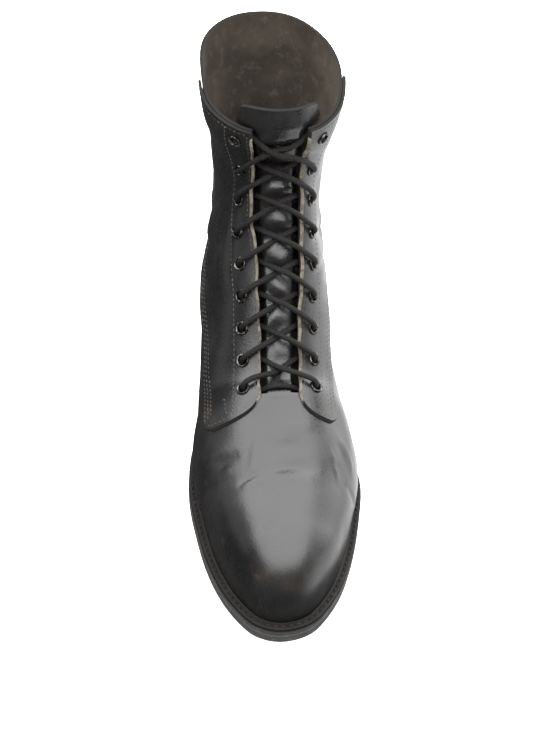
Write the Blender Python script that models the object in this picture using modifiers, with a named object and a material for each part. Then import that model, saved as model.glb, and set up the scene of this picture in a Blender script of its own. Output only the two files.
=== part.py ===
# Combat boot, left foot: welted sole with a separate heel, hollow leather upper, laced quarters.
# Metres, +Z up. The toe points to -Y, +X is the outer (lateral) side.
# The origin is the middle of the heel's underside.

import math

import bmesh
import bpy
import numpy as np
from mathutils import Vector

# Driving sizes
LENGTH = 0.308
BALL_WIDTH = 0.107
HEEL_WIDTH = 0.071
HEEL_LENGTH = 0.074
HEEL_HEIGHT = 0.026
TOE_SPRING = 0.008
TOE_HEIGHT = 0.047
INSTEP_HEIGHT = 0.079
SHAFT_HEIGHT = 0.200
SHAFT_DEPTH = 0.102

OUTSOLE_THICK = 0.0065
MIDSOLE_THICK = 0.0025
WELT_THICK = 0.0030
WELT_LEDGE = 0.0055
HEEL_LEDGE = 0.0030
INSOLE_THICK = 0.0030
INSOLE_CLEARANCE = 0.0028
EDGE_ROUND = 0.0012
HEEL_TAPER = 0.0012
GROOVE_DEPTH = 0.0022
GROOVE_WIDTH = 0.0035
GROOVE_BORDER = 0.009
GROOVE_POINT = 0.008

LEATHER = 0.0018
QUARTER_LEATHER = 0.0018
TONGUE_THICK = 0.0022
TONGUE_CLEARANCE = 0.0007
TONGUE_ABOVE_COLLAR = 0.012
GAP = 0.0003
PANEL_GAP = 0.0007
SEAT_GAP = 0.0005

EYELET_PAIRS = 9
EYELET_FROM_EDGE = 0.0105
EYELET_OUTER = 0.0044
EYELET_INNER = 0.0027
EYELET_PROUD = 0.0010
LACE_RADIUS = 0.0017
FIRST_EYELET = 0.0045
LAST_EYELET = 0.0085
STRAND_LIFT = 0.0006
STRAND_REACH = 0.024
BAR_DROP = 0.0008
QUARTER_TOP = PANEL_GAP + QUARTER_LEATHER

# Outline of the sole from heel to toe: place as a share of LENGTH, then the inner and outer
# edges as shares of HEEL_WIDTH (heel rows) and of BALL_WIDTH (forepart rows).
HEEL_ROWS = (
    (0.034, -0.345, 0.345),
    (0.105, -0.490, 0.490),
    (0.190, -0.480, 0.490),
)
FOREPART_ROWS = (
    (0.290, -0.288, 0.322),
    (0.380, -0.325, 0.362),
    (0.470, -0.412, 0.425),
    (0.560, -0.480, 0.483),
    (0.640, -0.496, 0.506),
    (0.730, -0.470, 0.460),
    (0.820, -0.425, 0.385),
    (0.900, -0.352, 0.290),
    (0.963, -0.252, 0.168),
    (0.990, -0.165, 0.070),
)
TOE_TIP = -0.055

# Places of the tread's grooves, shares of LENGTH
FORE_GROOVES = (0.540, 0.580, 0.620, 0.760, 0.800, 0.840, 0.880, 0.920)
HEEL_GROOVES = (0.030, 0.062, 0.158, 0.190)

# Bottom line: where the heel's level part ends, where the ball rests flat, where the toe lifts.
SEAT_END = 0.235
BALL_START = 0.615
BALL_END = 0.735

# Sections of the upper, from the toe's edge over the instep to the collar. Each lies in a plane
# across the boot, from a point on the sole's edge or the heel's back to one on the top line.
#   seat    place of the lower point on the sole's edge, share of that edge's length
#   back    how far the heel's back lies behind the seat, share of SHAFT_DEPTH
#   rise    height of the back point over the seat, share of SHAFT_HEIGHT
#   top     place of the upper point, share of LENGTH
#   toe, instep, shaft   its height over the sole's edge, as shares of TOE_HEIGHT,
#           INSTEP_HEIGHT and SHAFT_HEIGHT, which are added
#   inner, outer   widest half-widths, shares of BALL_WIDTH
#   widest  where that is, as a share of the way from the lower to the upper point
#   full    how square the upper part is (2 is an ellipse), and rear the same for the lower part
#   ridge   sideways place of the top line, share of BALL_WIDTH
SECTION_COLUMNS = ("seat", "back", "rise", "top", "toe", "instep", "shaft",
                   "inner", "outer", "widest", "full", "rear", "ridge")
SECTIONS = (
    (0.915, 0.00, 0.00, 0.982, 0.00, 0.00, 0.00, 0.400, 0.360, 0.30, 2.3, 2.0, -0.055),
    (0.870, 0.00, 0.00, 0.977, 0.42, 0.00, 0.00, 0.415, 0.385, 0.30, 2.3, 2.0, -0.052),
    (0.825, 0.00, 0.00, 0.955, 0.74, 0.00, 0.00, 0.440, 0.410, 0.30, 2.3, 2.0, -0.048),
    (0.785, 0.00, 0.00, 0.918, 0.93, 0.00, 0.00, 0.455, 0.430, 0.30, 2.3, 2.0, -0.042),
    (0.740, 0.00, 0.00, 0.862, 1.03, 0.02, 0.00, 0.463, 0.445, 0.30, 2.3, 2.0, -0.035),
    (0.690, 0.00, 0.00, 0.790, 0.86, 0.20, 0.00, 0.472, 0.465, 0.30, 2.2, 2.0, -0.026),
    (0.630, 0.00, 0.00, 0.712, 0.55, 0.49, 0.00, 0.478, 0.466, 0.32, 2.1, 2.0, -0.014),
    (0.565, 0.00, 0.00, 0.645, 0.25, 0.78, 0.00, 0.468, 0.440, 0.34, 2.1, 2.0, -0.004),
    (0.500, 0.00, 0.00, 0.588, 0.08, 0.97, 0.00, 0.438, 0.408, 0.36, 2.0, 2.0, 0.004),
    (0.410, 0.00, 0.00, 0.528, 0.00, 1.00, 0.07, 0.412, 0.366, 0.38, 2.0, 2.0, 0.010),
    (0.310, 0.00, 0.00, 0.470, 0.00, 0.97, 0.18, 0.392, 0.346, 0.40, 2.0, 2.1, 0.014),
    (0.210, 0.00, 0.00, 0.422, 0.00, 0.93, 0.28, 0.386, 0.342, 0.42, 2.1, 2.2, 0.018),
    (0.110, 0.00, 0.00, 0.382, 0.00, 0.86, 0.40, 0.360, 0.328, 0.42, 2.1, 2.3, 0.022),
    (0.035, 0.00, 0.00, 0.357, 0.00, 0.76, 0.52, 0.326, 0.320, 0.42, 2.2, 2.4, 0.025),
    (0.000, 0.00, 0.00, 0.346, 0.00, 0.66, 0.60, 0.306, 0.314, 0.42, 2.2, 2.5, 0.026),
    (0.000, 0.01, 0.09, 0.342, 0.00, 0.52, 0.69, 0.294, 0.308, 0.44, 2.2, 2.5, 0.027),
    (0.000, -0.03, 0.24, 0.340, 0.00, 0.36, 0.78, 0.290, 0.302, 0.46, 2.3, 2.4, 0.028),
    (0.000, -0.09, 0.42, 0.342, 0.00, 0.22, 0.86, 0.297, 0.308, 0.48, 2.3, 2.3, 0.029),
    (0.000, -0.09, 0.61, 0.345, 0.00, 0.12, 0.91, 0.320, 0.330, 0.50, 2.3, 2.2, 0.030),
    (0.000, -0.06, 0.80, 0.349, 0.00, 0.04, 0.97, 0.360, 0.366, 0.50, 2.3, 2.2, 0.030),
    (0.000, -0.03, 0.98, 0.353, 0.00, 0.00, 1.02, 0.385, 0.391, 0.50, 2.3, 2.2, 0.030),
)
TOE_SECTIONS = 4.0
FOOT_SECTIONS = 7.0
RIDGE_FADES = 9.0
HEEL_SECTION = 14.0
LAST_SECTION = 20.0
THROAT_SECTION = 7.50
# How far the toe's sides swell past the sole's inner line, share of the width
TOE_SWELL = 0.03

# Half the throat's gap, measured over the surface from the top line: section, inner, outer.
THROAT_ROWS = (
    (7.50, 0.0108, 0.0116),
    (9.50, 0.0106, 0.0132),
    (11.0, 0.0116, 0.0156),
    (12.5, 0.0148, 0.0160),
    (20.0, 0.0160, 0.0160),
)
# Side seam of the quarters: section, inner and outer shares of the way down from the top line.
SEAM_ROWS = (
    (6.6, 0.465, 0.370),
    (7.6, 0.480, 0.365),
    (8.6, 0.498, 0.405),
    (10.2, 0.488, 0.450),
    (12.0, 0.450, 0.450),
    (13.5, 0.422, 0.425),
    (15.0, 0.425, 0.428),
    (17.0, 0.450, 0.450),
    (20.0, 0.465, 0.465),
)
# Lower edge of a quarter: share of the way from the throat to the side seam, section.
QUARTER_EDGE = (
    (0.00, 7.42),
    (0.04, 7.30),
    (0.14, 7.05),
    (0.28, 6.89),
    (0.50, 6.77),
    (0.80, 6.71),
    (1.00, 6.86),
)

# Spans of the upper's faces: toe to throat, throat to heel, heel to collar
VAMP_SPANS = 11
INSTEP_SPANS = 12
SHAFT_SPANS = 9
# and around one half: sole to side seam, seam to throat, throat to the top line
LOW_COLUMNS = 8
QUARTER_COLUMNS = 7
THROAT_COLUMNS = 2
TONGUE_COLUMNS = 2
QUARTER_START = 6.4
RIM_STATIONS = 34


def smooth(x):
    x = np.clip(x, 0.0, 1.0)
    return x * x * (3.0 - 2.0 * x)


def monotone(x, xs, ys):
    """Cubic through the rows of a table that never swings past them."""
    x = np.clip(np.asarray(x, float), xs[0], xs[-1])
    step = np.diff(xs)
    rate = np.diff(ys) / step
    slope = np.empty(len(xs))
    slope[0], slope[-1] = rate[0], rate[-1]
    same = rate[1:] * rate[:-1] > 0
    mean = np.where(same, 2 * rate[1:] * rate[:-1] / np.where(same, rate[1:] + rate[:-1], 1), 0)
    slope[1:-1] = mean
    i = np.clip(np.searchsorted(xs, x, side="right") - 1, 0, len(xs) - 2)
    t = (x - xs[i]) / step[i]
    a, b = ys[i], ys[i + 1]
    return (
        (1 + 2 * t) * (1 - t) ** 2 * a
        + t * (1 - t) ** 2 * step[i] * slope[i]
        + t * t * (3 - 2 * t) * b
        + t * t * (t - 1) * step[i] * slope[i + 1]
    )


def table(rows, x):
    xs = np.array([row[0] for row in rows], float)
    return [monotone(x, xs, np.array([row[k] for row in rows], float)) for k in range(1, len(rows[0]))]


def closed_curve(points, steps):
    """Smooth closed curve through the points, with its steps on each span."""
    points = np.array(points, float)
    count = len(points)
    t = np.linspace(0, 1, steps, endpoint=False)[:, None]
    spans = []
    for i in range(count):
        a, b, c, d = (points[(i + k) % count] for k in (-1, 0, 1, 2))
        spans.append(0.5 * (2 * b + (c - a) * t + (2 * a - 5 * b + 4 * c - d) * t**2
                            + (3 * b - a - 3 * c + d) * t**3))
    return np.concatenate(spans)


# The sole's outline, as points (x, place from heel to toe), inner side first
def sole_outline():
    heel = [(place, inner * HEEL_WIDTH, outer * HEEL_WIDTH) for place, inner, outer in HEEL_ROWS]
    fore = [(place, inner * BALL_WIDTH, outer * BALL_WIDTH) for place, inner, outer in FOREPART_ROWS]
    rows = heel + fore
    inner_side = [(inner, place * LENGTH) for place, inner, _ in rows]
    outer_side = [(outer, place * LENGTH) for place, _, outer in rows]
    points = [(0.0, 0.0)] + inner_side + [(TOE_TIP * BALL_WIDTH, LENGTH)] + outer_side[::-1]
    return closed_curve(points, 12)


def ledge(place):
    """How far the upper stands in from the sole's edge."""
    return HEEL_LEDGE + (WELT_LEDGE - HEEL_LEDGE) * smooth((place / LENGTH - 0.30) / 0.22)


def inset_outline(outline, inset):
    ahead = np.roll(outline, -1, axis=0) - np.roll(outline, 1, axis=0)
    ahead /= np.linalg.norm(ahead, axis=1)[:, None]
    inward = np.stack([ahead[:, 1], -ahead[:, 0]], axis=1)
    return outline + inward * np.asarray(inset)[:, None]


def sides_of(outline):
    """Inner and outer edges as (places, x), each from heel to toe."""
    heel = int(outline[:, 1].argmin())
    turned = np.roll(outline, -heel, axis=0)
    toe = int(turned[:, 1].argmax())
    inner = turned[: toe + 1]
    outer = np.vstack([turned[toe:], turned[:1]])[::-1]
    return [(np.maximum.accumulate(side[:, 1]), side[:, 0]) for side in (inner, outer)]


OUTLINE = sole_outline()
LEDGES = ledge(OUTLINE[:, 1])
FEATHER = inset_outline(OUTLINE, LEDGES)
FEATHER_SIDES = sides_of(FEATHER)
FEATHER_HEEL = FEATHER[:, 1].min()
FEATHER_TOE = FEATHER[:, 1].max()
HEEL_MIDDLE = HEEL_LENGTH / 2


def world_y(place):
    return HEEL_MIDDLE - place


def bottom_line(place):
    """Height of the outsole's underside over the floor."""
    share = np.asarray(place) / LENGTH
    heel = HEEL_HEIGHT * smooth((BALL_START - share) / (BALL_START - SEAT_END))
    toe = TOE_SPRING * np.clip((share - BALL_END) / (1 - BALL_END), 0, 1.1) ** 1.7
    return heel + toe


OUTSOLE_TOP = OUTSOLE_THICK
MIDSOLE_BASE = OUTSOLE_TOP + GAP
MIDSOLE_TOP = MIDSOLE_BASE + MIDSOLE_THICK
WELT_BASE = MIDSOLE_TOP + GAP
WELT_TOP = WELT_BASE + WELT_THICK
EDGE_BASE = WELT_TOP + GAP


def edge_height(place):
    """Height of the line where the upper meets the welt's top."""
    return bottom_line(place) + EDGE_BASE


# The upper's surface
def section_values(t):
    xs = np.arange(len(SECTIONS), dtype=float)
    columns = np.array(SECTIONS, float).T
    return {name: monotone(t, xs, column) for name, column in zip(SECTION_COLUMNS, columns)}


def place_of_seat(seat):
    return FEATHER_HEEL + seat * (FEATHER_TOE - FEATHER_HEEL)


def top_point(values):
    place = np.minimum(values["top"] * LENGTH, FEATHER_TOE)
    height = (edge_height(place * 0 + LENGTH * BALL_START)
              + values["toe"] * TOE_HEIGHT
              + values["instep"] * INSTEP_HEIGHT
              + values["shaft"] * SHAFT_HEIGHT)
    return place, height


TOP_T = np.linspace(0, LAST_SECTION, 241)
TOP_PLACE, TOP_HEIGHT = top_point(section_values(TOP_T))
TOE_ARC = TOP_T <= HEEL_SECTION


def toe_lift(place):
    return edge_height(place) - edge_height(LENGTH * BALL_START)


def top_height_at(place):
    """Height of the toe's and vamp's top line over a place, with the toe's spring."""
    heights = np.interp(-place, -TOP_PLACE[TOE_ARC], TOP_HEIGHT[TOE_ARC])
    return heights + toe_lift(np.maximum(place, BALL_END * LENGTH))


def half_section(t, side, samples=97):
    """Points (x, place, height) of one half of a section, from its lower to its upper point."""
    values = {name: float(value) for name, value in section_values(t).items()}
    seat = float(place_of_seat(values["seat"]))
    places, edges = FEATHER_SIDES[side]
    sign = (-1.0, 1.0)[side]
    low_place = seat - values["back"] * SHAFT_DEPTH
    low_height = float(edge_height(seat)) + values["rise"] * SHAFT_HEIGHT
    high_place, high_height = (float(value) for value in top_point(values))
    high_height += float(toe_lift(max(high_place, BALL_END * LENGTH)))
    h = (1 - np.cos(np.linspace(0, math.pi, samples))) / 2
    place = low_place + (high_place - low_place) * h
    height = low_height + (high_height - low_height) * h
    at = values["widest"]
    ridge = values["ridge"] * BALL_WIDTH
    low_ridge = ridge * (1 - float(smooth((t - RIDGE_FADES) / (HEEL_SECTION - RIDGE_FADES))))
    middle = low_ridge + (ridge - low_ridge) * smooth(h / at)
    start = sign * (np.interp(seat, places, edges) - low_ridge) if t < HEEL_SECTION else 0.0
    start = max(float(start), 0.0)
    widest = values[("inner", "outer")[side]] * BALL_WIDTH
    reach = widest - sign * ridge * 0.5
    low = (1 - np.clip(1 - h / at, 0, 1) ** values["rear"]) ** (1 / values["rear"])
    high = (1 - np.clip((h - at) / (1 - at), 0, 1) ** values["full"]) ** (1 / values["full"])
    across = np.where(h < at, start + (reach - start) * low, reach * high)
    blend = 1 - smooth((t - TOE_SECTIONS) / (FOOT_SECTIONS - TOE_SECTIONS))
    if blend > 0:
        bend = edge_height(place) - np.interp(h, (0, 1), (edge_height(low_place), edge_height(high_place)))
        height = height + blend * bend
        over = height - edge_height(place)
        tall = np.maximum(top_height_at(place) - edge_height(place), 1e-6)
        share = np.clip(over / tall, 0, 1)
        share[-1] = 1.0 if t > 0 else 0.0
        edge = np.maximum(sign * (np.interp(place, places, edges) - ridge_at(place)), 0)
        swell = 1 + TOE_SWELL * np.sqrt(1 - np.clip(1 - share / at, 0, 1) ** 2)
        crown = (1 - np.clip((share - at) / (1 - at), 0, 1) ** values["full"]) ** (1 / values["full"])
        across = blend * edge * swell * crown + (1 - blend) * across
    middle = (1 - blend) * middle + blend * ridge_at(place)
    return np.stack([middle + sign * across, place, height], axis=1)


def ridge_at(place):
    values = section_values(TOP_T)
    return np.interp(-place, -TOP_PLACE[TOE_ARC], values["ridge"][TOE_ARC]) * BALL_WIDTH


def evenly(points, count):
    lengths = np.concatenate([[0], np.cumsum(np.linalg.norm(np.diff(points, axis=0), axis=1))])
    spots = np.linspace(0, lengths[-1], count)
    return np.stack([np.interp(spots, lengths, points[:, k]) for k in range(3)], axis=1), lengths[-1]


class Surface:
    """The last's surface. A spot is a section t and a girth g, from -1 at the inner side's lower
    end over 0 at the top line to 1 at the outer side's lower end."""

    def __init__(self, rows=281, half=48):
        self.t = np.linspace(0, LAST_SECTION, rows)
        grid = []
        self.girth = []
        for t in self.t:
            inner, inner_length = evenly(half_section(t, 0), half + 1)
            outer, outer_length = evenly(half_section(t, 1), half + 1)
            grid.append(np.vstack([inner, outer[::-1][1:]]))
            self.girth.append((inner_length, outer_length))
        grid = np.array(grid)
        self.girth = np.array(self.girth)
        self.g = np.linspace(-1, 1, 2 * half + 1)
        self.grid = np.stack([grid[..., 0], world_y(grid[..., 1]), grid[..., 2]], axis=-1)
        along = np.gradient(self.grid, axis=0)
        around = np.gradient(self.grid, axis=1)
        normal = np.cross(along, around)
        length = np.linalg.norm(normal, axis=-1, keepdims=True)
        normal = np.where(length > 1e-12, normal / np.maximum(length, 1e-12), 0)
        for _ in range(2):
            padded = np.pad(normal, ((1, 1), (1, 1), (0, 0)), mode="edge")
            normal = (padded[:-2, 1:-1] + padded[2:, 1:-1] + padded[1:-1, :-2] + padded[1:-1, 2:]
                      + 2 * normal)
            normal /= np.maximum(np.linalg.norm(normal, axis=-1, keepdims=True), 1e-12)
        outer_side = normal[-rows // 10, 3 * half // 2, 0]
        self.normal = normal * np.sign(outer_side)

    def sample(self, field, t, g):
        t = np.clip(np.asarray(t, float), 0, LAST_SECTION)
        g = np.clip(np.asarray(g, float), -1, 1)
        i = t / LAST_SECTION * (len(self.t) - 1)
        j = (g + 1) / 2 * (len(self.g) - 1)
        i0 = np.clip(np.floor(i).astype(int), 0, len(self.t) - 2)
        j0 = np.clip(np.floor(j).astype(int), 0, len(self.g) - 2)
        a, b = (i - i0)[..., None], (j - j0)[..., None]
        return ((1 - a) * (1 - b) * field[i0, j0] + a * (1 - b) * field[i0 + 1, j0]
                + (1 - a) * b * field[i0, j0 + 1] + a * b * field[i0 + 1, j0 + 1])

    def at(self, t, g, offset=0.0):
        t, g = np.broadcast_arrays(np.asarray(t, float), np.asarray(g, float))
        normal = self.sample(self.normal, t, g)
        normal = normal / np.maximum(np.linalg.norm(normal, axis=-1, keepdims=True), 1e-9)
        return self.sample(self.grid, t, g) + normal * np.asarray(offset)[..., None]

    def girth_at(self, t, side):
        return np.interp(t, self.t, self.girth[:, side])

    def evenly_spaced(self, first, last, count):
        """Sections whose lower ends and top line are evenly apart."""
        steps = (2 * np.linalg.norm(np.diff(self.grid[:, 0], axis=0), axis=1)
                 + np.linalg.norm(np.diff(self.grid[:, len(self.g) // 2], axis=0), axis=1)
                 + 0.5 * np.linalg.norm(np.diff(self.grid[:, len(self.g) // 4], axis=0), axis=1))
        run = np.concatenate([[0], np.cumsum(steps)])
        ends = np.interp((first, last), self.t, run)
        return np.interp(np.linspace(*ends, count), run, self.t)


LAST = Surface()


def half_gap(t, side):
    """Half the throat's gap at a section."""
    return table(THROAT_ROWS, t)[side]


def throat(t, side):
    """Share of a half girth, from the top line, at which the throat's edge lies."""
    return half_gap(t, side) / LAST.girth_at(t, side)


def seam(t, side):
    """Share of a half girth, from the top line, at which the side seam lies."""
    return table(SEAM_ROWS, t)[side]


# Objects
def material(name, colour, roughness, metallic=0.0):
    made = bpy.data.materials.new(name)
    made.use_nodes = True
    shader = made.node_tree.nodes["Principled BSDF"]
    shader.inputs["Base Color"].default_value = (*colour, 1)
    shader.inputs["Roughness"].default_value = roughness
    shader.inputs["Metallic"].default_value = metallic
    return made


def clear_scene():
    for obj in list(bpy.data.objects):
        bpy.data.objects.remove(obj)


def collection(name):
    made = bpy.data.collections.new(name)
    bpy.context.scene.collection.children.link(made)
    return made


def cut(obj, cutter, cutters, operation="DIFFERENCE"):
    """Cuts an object with another, or joins them, and puts that one with the hidden cutters."""
    for holder in list(cutter.users_collection):
        holder.objects.unlink(cutter)
    cutters.objects.link(cutter)
    cutter.hide_render = True
    cutter.display_type = "WIRE"
    change = obj.modifiers.new("cut", "BOOLEAN")
    change.operation = operation
    change.solver = "EXACT"
    change.object = cutter


def add_mesh(name, points, faces, finish, group):
    mesh = bpy.data.meshes.new(name)
    mesh.from_pydata([tuple(map(float, point)) for point in points], [], faces)
    mesh.materials.append(finish)
    obj = bpy.data.objects.new(name, mesh)
    group.objects.link(obj)
    mesh.shade_smooth()
    mesh.set_sharp_from_angle(angle=math.radians(40))
    return obj


def solidify(obj, thickness, outward):
    wall = obj.modifiers.new("wall", "SOLIDIFY")
    wall.thickness = thickness
    wall.offset = 1.0 if outward else -1.0
    wall.use_even_offset = True
    wall.thickness_clamp = 0.0


def grid_faces(rows, columns, index, skip=None):
    return [
        (index(i, j), index(i + 1, j), index(i + 1, j + 1), index(i, j + 1))
        for i in range(rows - 1)
        for j in range(columns - 1)
        if skip is None or not skip(i, j)
    ]


# Sole
def rim(outline):
    """Ring of points of an outline: inner side from heel to toe, outer side back."""
    low, high = outline[:, 1].min(), outline[:, 1].max()
    inner, outer = sides_of(outline)
    places = low + (high - low) * (1 - np.cos(np.linspace(0, math.pi, RIM_STATIONS))) / 2
    inner_x = np.interp(places, *inner)
    outer_x = np.interp(places, *outer)
    return np.array(list(zip(inner_x, places)) + list(zip(outer_x, places))[::-1][1:-1])


def plate(name, levels, finish, group):
    """Closed plate whose edge runs through levels, each an inset and a height over the bottom line."""
    rings = []
    for inset, base, lift in levels:
        ring = rim(inset_outline(OUTLINE, np.broadcast_to(inset, len(OUTLINE))))
        rings.append(np.column_stack([ring[:, 0], world_y(ring[:, 1]), base(ring[:, 1]) + lift]))
    around = len(rings[0])
    faces = [
        (k * around + i, k * around + (i + 1) % around,
         (k + 1) * around + (i + 1) % around, (k + 1) * around + i)
        for k in range(len(rings) - 1)
        for i in range(around)
    ]
    for start in (0, (len(rings) - 1) * around):
        for i in range(RIM_STATIONS - 1):
            strip = (i, i + 1, (around - i - 1) % around, (around - i) % around)
            faces.append(tuple(start + corner for corner in dict.fromkeys(strip)))
    obj = add_mesh(name, np.vstack(rings), faces, finish, group)
    recalculate(obj)
    return obj


def recalculate(obj):
    shape = bmesh.new()
    shape.from_mesh(obj.data)
    bmesh.ops.recalc_face_normals(shape, faces=shape.faces)
    shape.to_mesh(obj.data)
    shape.free()


def make_outsole(finish, group, cutters):
    levels = (
        (EDGE_ROUND, bottom_line, 0.0),
        (0.0, bottom_line, EDGE_ROUND),
        (0.0, bottom_line, OUTSOLE_TOP - 0.6 * EDGE_ROUND),
        (0.6 * EDGE_ROUND, bottom_line, OUTSOLE_TOP),
    )
    obj = plate("outsole", levels, finish, group)
    grooves = add_mesh("sole_groove_cutter", *groove_prisms(FORE_GROOVES, bottom_line), finish, group)
    recalculate(grooves)
    cut(obj, grooves, cutters)
    return obj


def groove_prisms(places, base):
    """Chevron prisms across the tread, each with its point toward the toe."""
    inner, outer = sides_of(OUTLINE)
    points, faces = [], []
    for share in places:
        middle = share * LENGTH
        left = np.interp(middle, *inner) + GROOVE_BORDER
        right = np.interp(middle, *outer) - GROOVE_BORDER
        centre = (left + right) / 2
        start = len(points)
        for lift in (-GROOVE_WIDTH, GROOVE_DEPTH):
            for x, step in ((left, 0), (centre, 1), (right, 0)):
                for half in (-0.5, 0.5):
                    place = middle + step * GROOVE_POINT + half * GROOVE_WIDTH
                    points.append((x, world_y(place), float(base(np.array(place))) + lift))
        low = [start + k for k in (0, 2, 4, 5, 3, 1)]
        high = [k + 6 for k in low]
        for ends in (low, high):
            faces += [(ends[0], ends[1], ends[4], ends[5]), (ends[1], ends[2], ends[3], ends[4])]
        faces += [(low[k], low[(k + 1) % 6], high[(k + 1) % 6], high[k]) for k in range(6)]
    return points, faces


def make_midsole(finish, group):
    inset = 0.4 * EDGE_ROUND
    levels = (
        (inset, bottom_line, MIDSOLE_BASE),
        (inset, bottom_line, MIDSOLE_TOP),
    )
    return plate("midsole", levels, finish, group)


def make_heel(finish, group, cutters):
    """Block under the seat: the outsole's outline cut straight at the breast."""
    def floor(place):
        return place * 0.0

    def under_seat(place):
        return place * 0.0 + HEEL_HEIGHT - GAP

    levels = (
        (EDGE_ROUND + HEEL_TAPER, floor, 0.0),
        (HEEL_TAPER, floor, EDGE_ROUND),
        (0.0, under_seat, 0.0),
    )
    obj = plate("heel", levels, finish, group)
    bpy.ops.mesh.primitive_cube_add(size=1)
    breast = bpy.context.active_object
    breast.name = "heel_breast_cutter"
    breast.scale = (2 * BALL_WIDTH, LENGTH, 4 * HEEL_HEIGHT)
    breast.location = (0, world_y(HEEL_LENGTH + LENGTH / 2), 0)
    cut(obj, breast, cutters)
    grooves = add_mesh("heel_groove_cutter", *groove_prisms(HEEL_GROOVES, floor), finish, group)
    recalculate(grooves)
    cut(obj, grooves, cutters)
    return obj


def make_welt(finish, group):
    """Strip around the upper's foot, from one side of the heel's breast round the toe to the other."""
    ring = rim(OUTLINE)
    ring = ring[ring[:, 1] > HEEL_LENGTH]
    nearest = np.linalg.norm(OUTLINE[None] - ring[:, None], axis=2).argmin(axis=1)
    lip = inset_outline(OUTLINE, LEDGES - 2 * GAP)[nearest]
    edge = inset_outline(OUTLINE, np.full(len(OUTLINE), 0.2 * EDGE_ROUND))[nearest]
    points = []
    for within, without in zip(lip, edge):
        corners = ((within, WELT_BASE), (without, WELT_BASE), (without, WELT_TOP), (within, WELT_TOP))
        for (x, place), lift in corners:
            points.append((x, world_y(place), float(bottom_line(place)) + lift))
    last = 4 * (len(ring) - 1)
    faces = [
        (start + k, start + (k + 1) % 4, start + 4 + (k + 1) % 4, start + 4 + k)
        for start in range(0, last, 4)
        for k in range(4)
    ]
    faces += [(0, 1, 2, 3), (last + 3, last + 2, last + 1, last)]
    obj = add_mesh("welt", points, faces, finish, group)
    recalculate(obj)
    return obj


def make_insole(finish, group):
    inset = LEDGES + LEATHER + INSOLE_CLEARANCE
    levels = (
        (inset, bottom_line, MIDSOLE_TOP + GAP),
        (inset, bottom_line, MIDSOLE_TOP + GAP + INSOLE_THICK),
    )
    return plate("insole", levels, finish, group)


# Upper
def section_rows():
    """Sections of the upper's rows, with the numbers of the throat's and the heel's row."""
    vamp = LAST.evenly_spaced(0, THROAT_SECTION, VAMP_SPANS + 1)
    instep = LAST.evenly_spaced(THROAT_SECTION, HEEL_SECTION, INSTEP_SPANS + 1)
    shaft = LAST.evenly_spaced(HEEL_SECTION, LAST_SECTION, SHAFT_SPANS + 1)
    return np.concatenate([vamp, instep[1:], shaft[1:]]), VAMP_SPANS, VAMP_SPANS + INSTEP_SPANS


def half_columns(t, side):
    """Girths of one half's columns at a section, from the sole or the back to the top line."""
    edge = float(throat(t, side))
    stitched = float(seam(t, side))
    low = np.linspace(1, stitched, LOW_COLUMNS + 1)
    quarter = np.linspace(stitched, edge, QUARTER_COLUMNS + 1)
    middle = np.linspace(edge, 0, THROAT_COLUMNS + 1)
    return (-1.0, 1.0)[side] * np.concatenate([low, quarter[1:], middle[1:]])


def upper_girths(t):
    return np.concatenate([half_columns(t, 0), half_columns(t, 1)[::-1][1:]])


def make_upper(finish, group):
    sections, throat_row, heel_row = section_rows()
    rows = len(sections)
    girths = np.array([upper_girths(t) for t in sections])
    width = girths.shape[1]
    points = LAST.at(np.repeat(sections[:, None], width, axis=1), girths)
    shape = bmesh.new()
    corners = {}
    for i in range(rows):
        for j in range(width):
            joined = j == width - 1 and i >= heel_row
            corners[i, j] = corners[i, 0] if joined else shape.verts.new(points[i, j])
    wall_columns = LOW_COLUMNS + QUARTER_COLUMNS
    for i in range(rows - 1):
        for j in range(width - 1):
            if i >= throat_row and wall_columns <= j < width - 1 - wall_columns:
                continue
            ring = []
            for key in ((i, j), (i + 1, j), (i + 1, j + 1), (i, j + 1)):
                if corners[key] not in ring:
                    ring.append(corners[key])
            shape.faces.new(ring)
    edge = [corners[0, j] for j in range(width)]
    edge += [corners[i, width - 1] for i in range(1, heel_row)]
    edge += [corners[heel_row, 0]]
    edge += [corners[i, 0] for i in range(heel_row - 1, 0, -1)]
    drop = WELT_TOP - MIDSOLE_TOP - GAP
    lower = [shape.verts.new((v.co.x, v.co.y, v.co.z - drop)) for v in edge]
    for k in range(len(edge)):
        n = (k + 1) % len(edge)
        shape.faces.new((edge[k], edge[n], lower[n], lower[k]))
    loose = [v for v in shape.verts if not v.link_faces]
    bmesh.ops.delete(shape, geom=loose, context="VERTS")
    bmesh.ops.recalc_face_normals(shape, faces=shape.faces)
    mesh = bpy.data.meshes.new("upper")
    shape.to_mesh(mesh)
    shape.free()
    mesh.materials.append(finish)
    mesh.shade_smooth()
    obj = bpy.data.objects.new("upper", mesh)
    group.objects.link(obj)
    solidify(obj, LEATHER, outward=False)
    return obj


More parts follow.
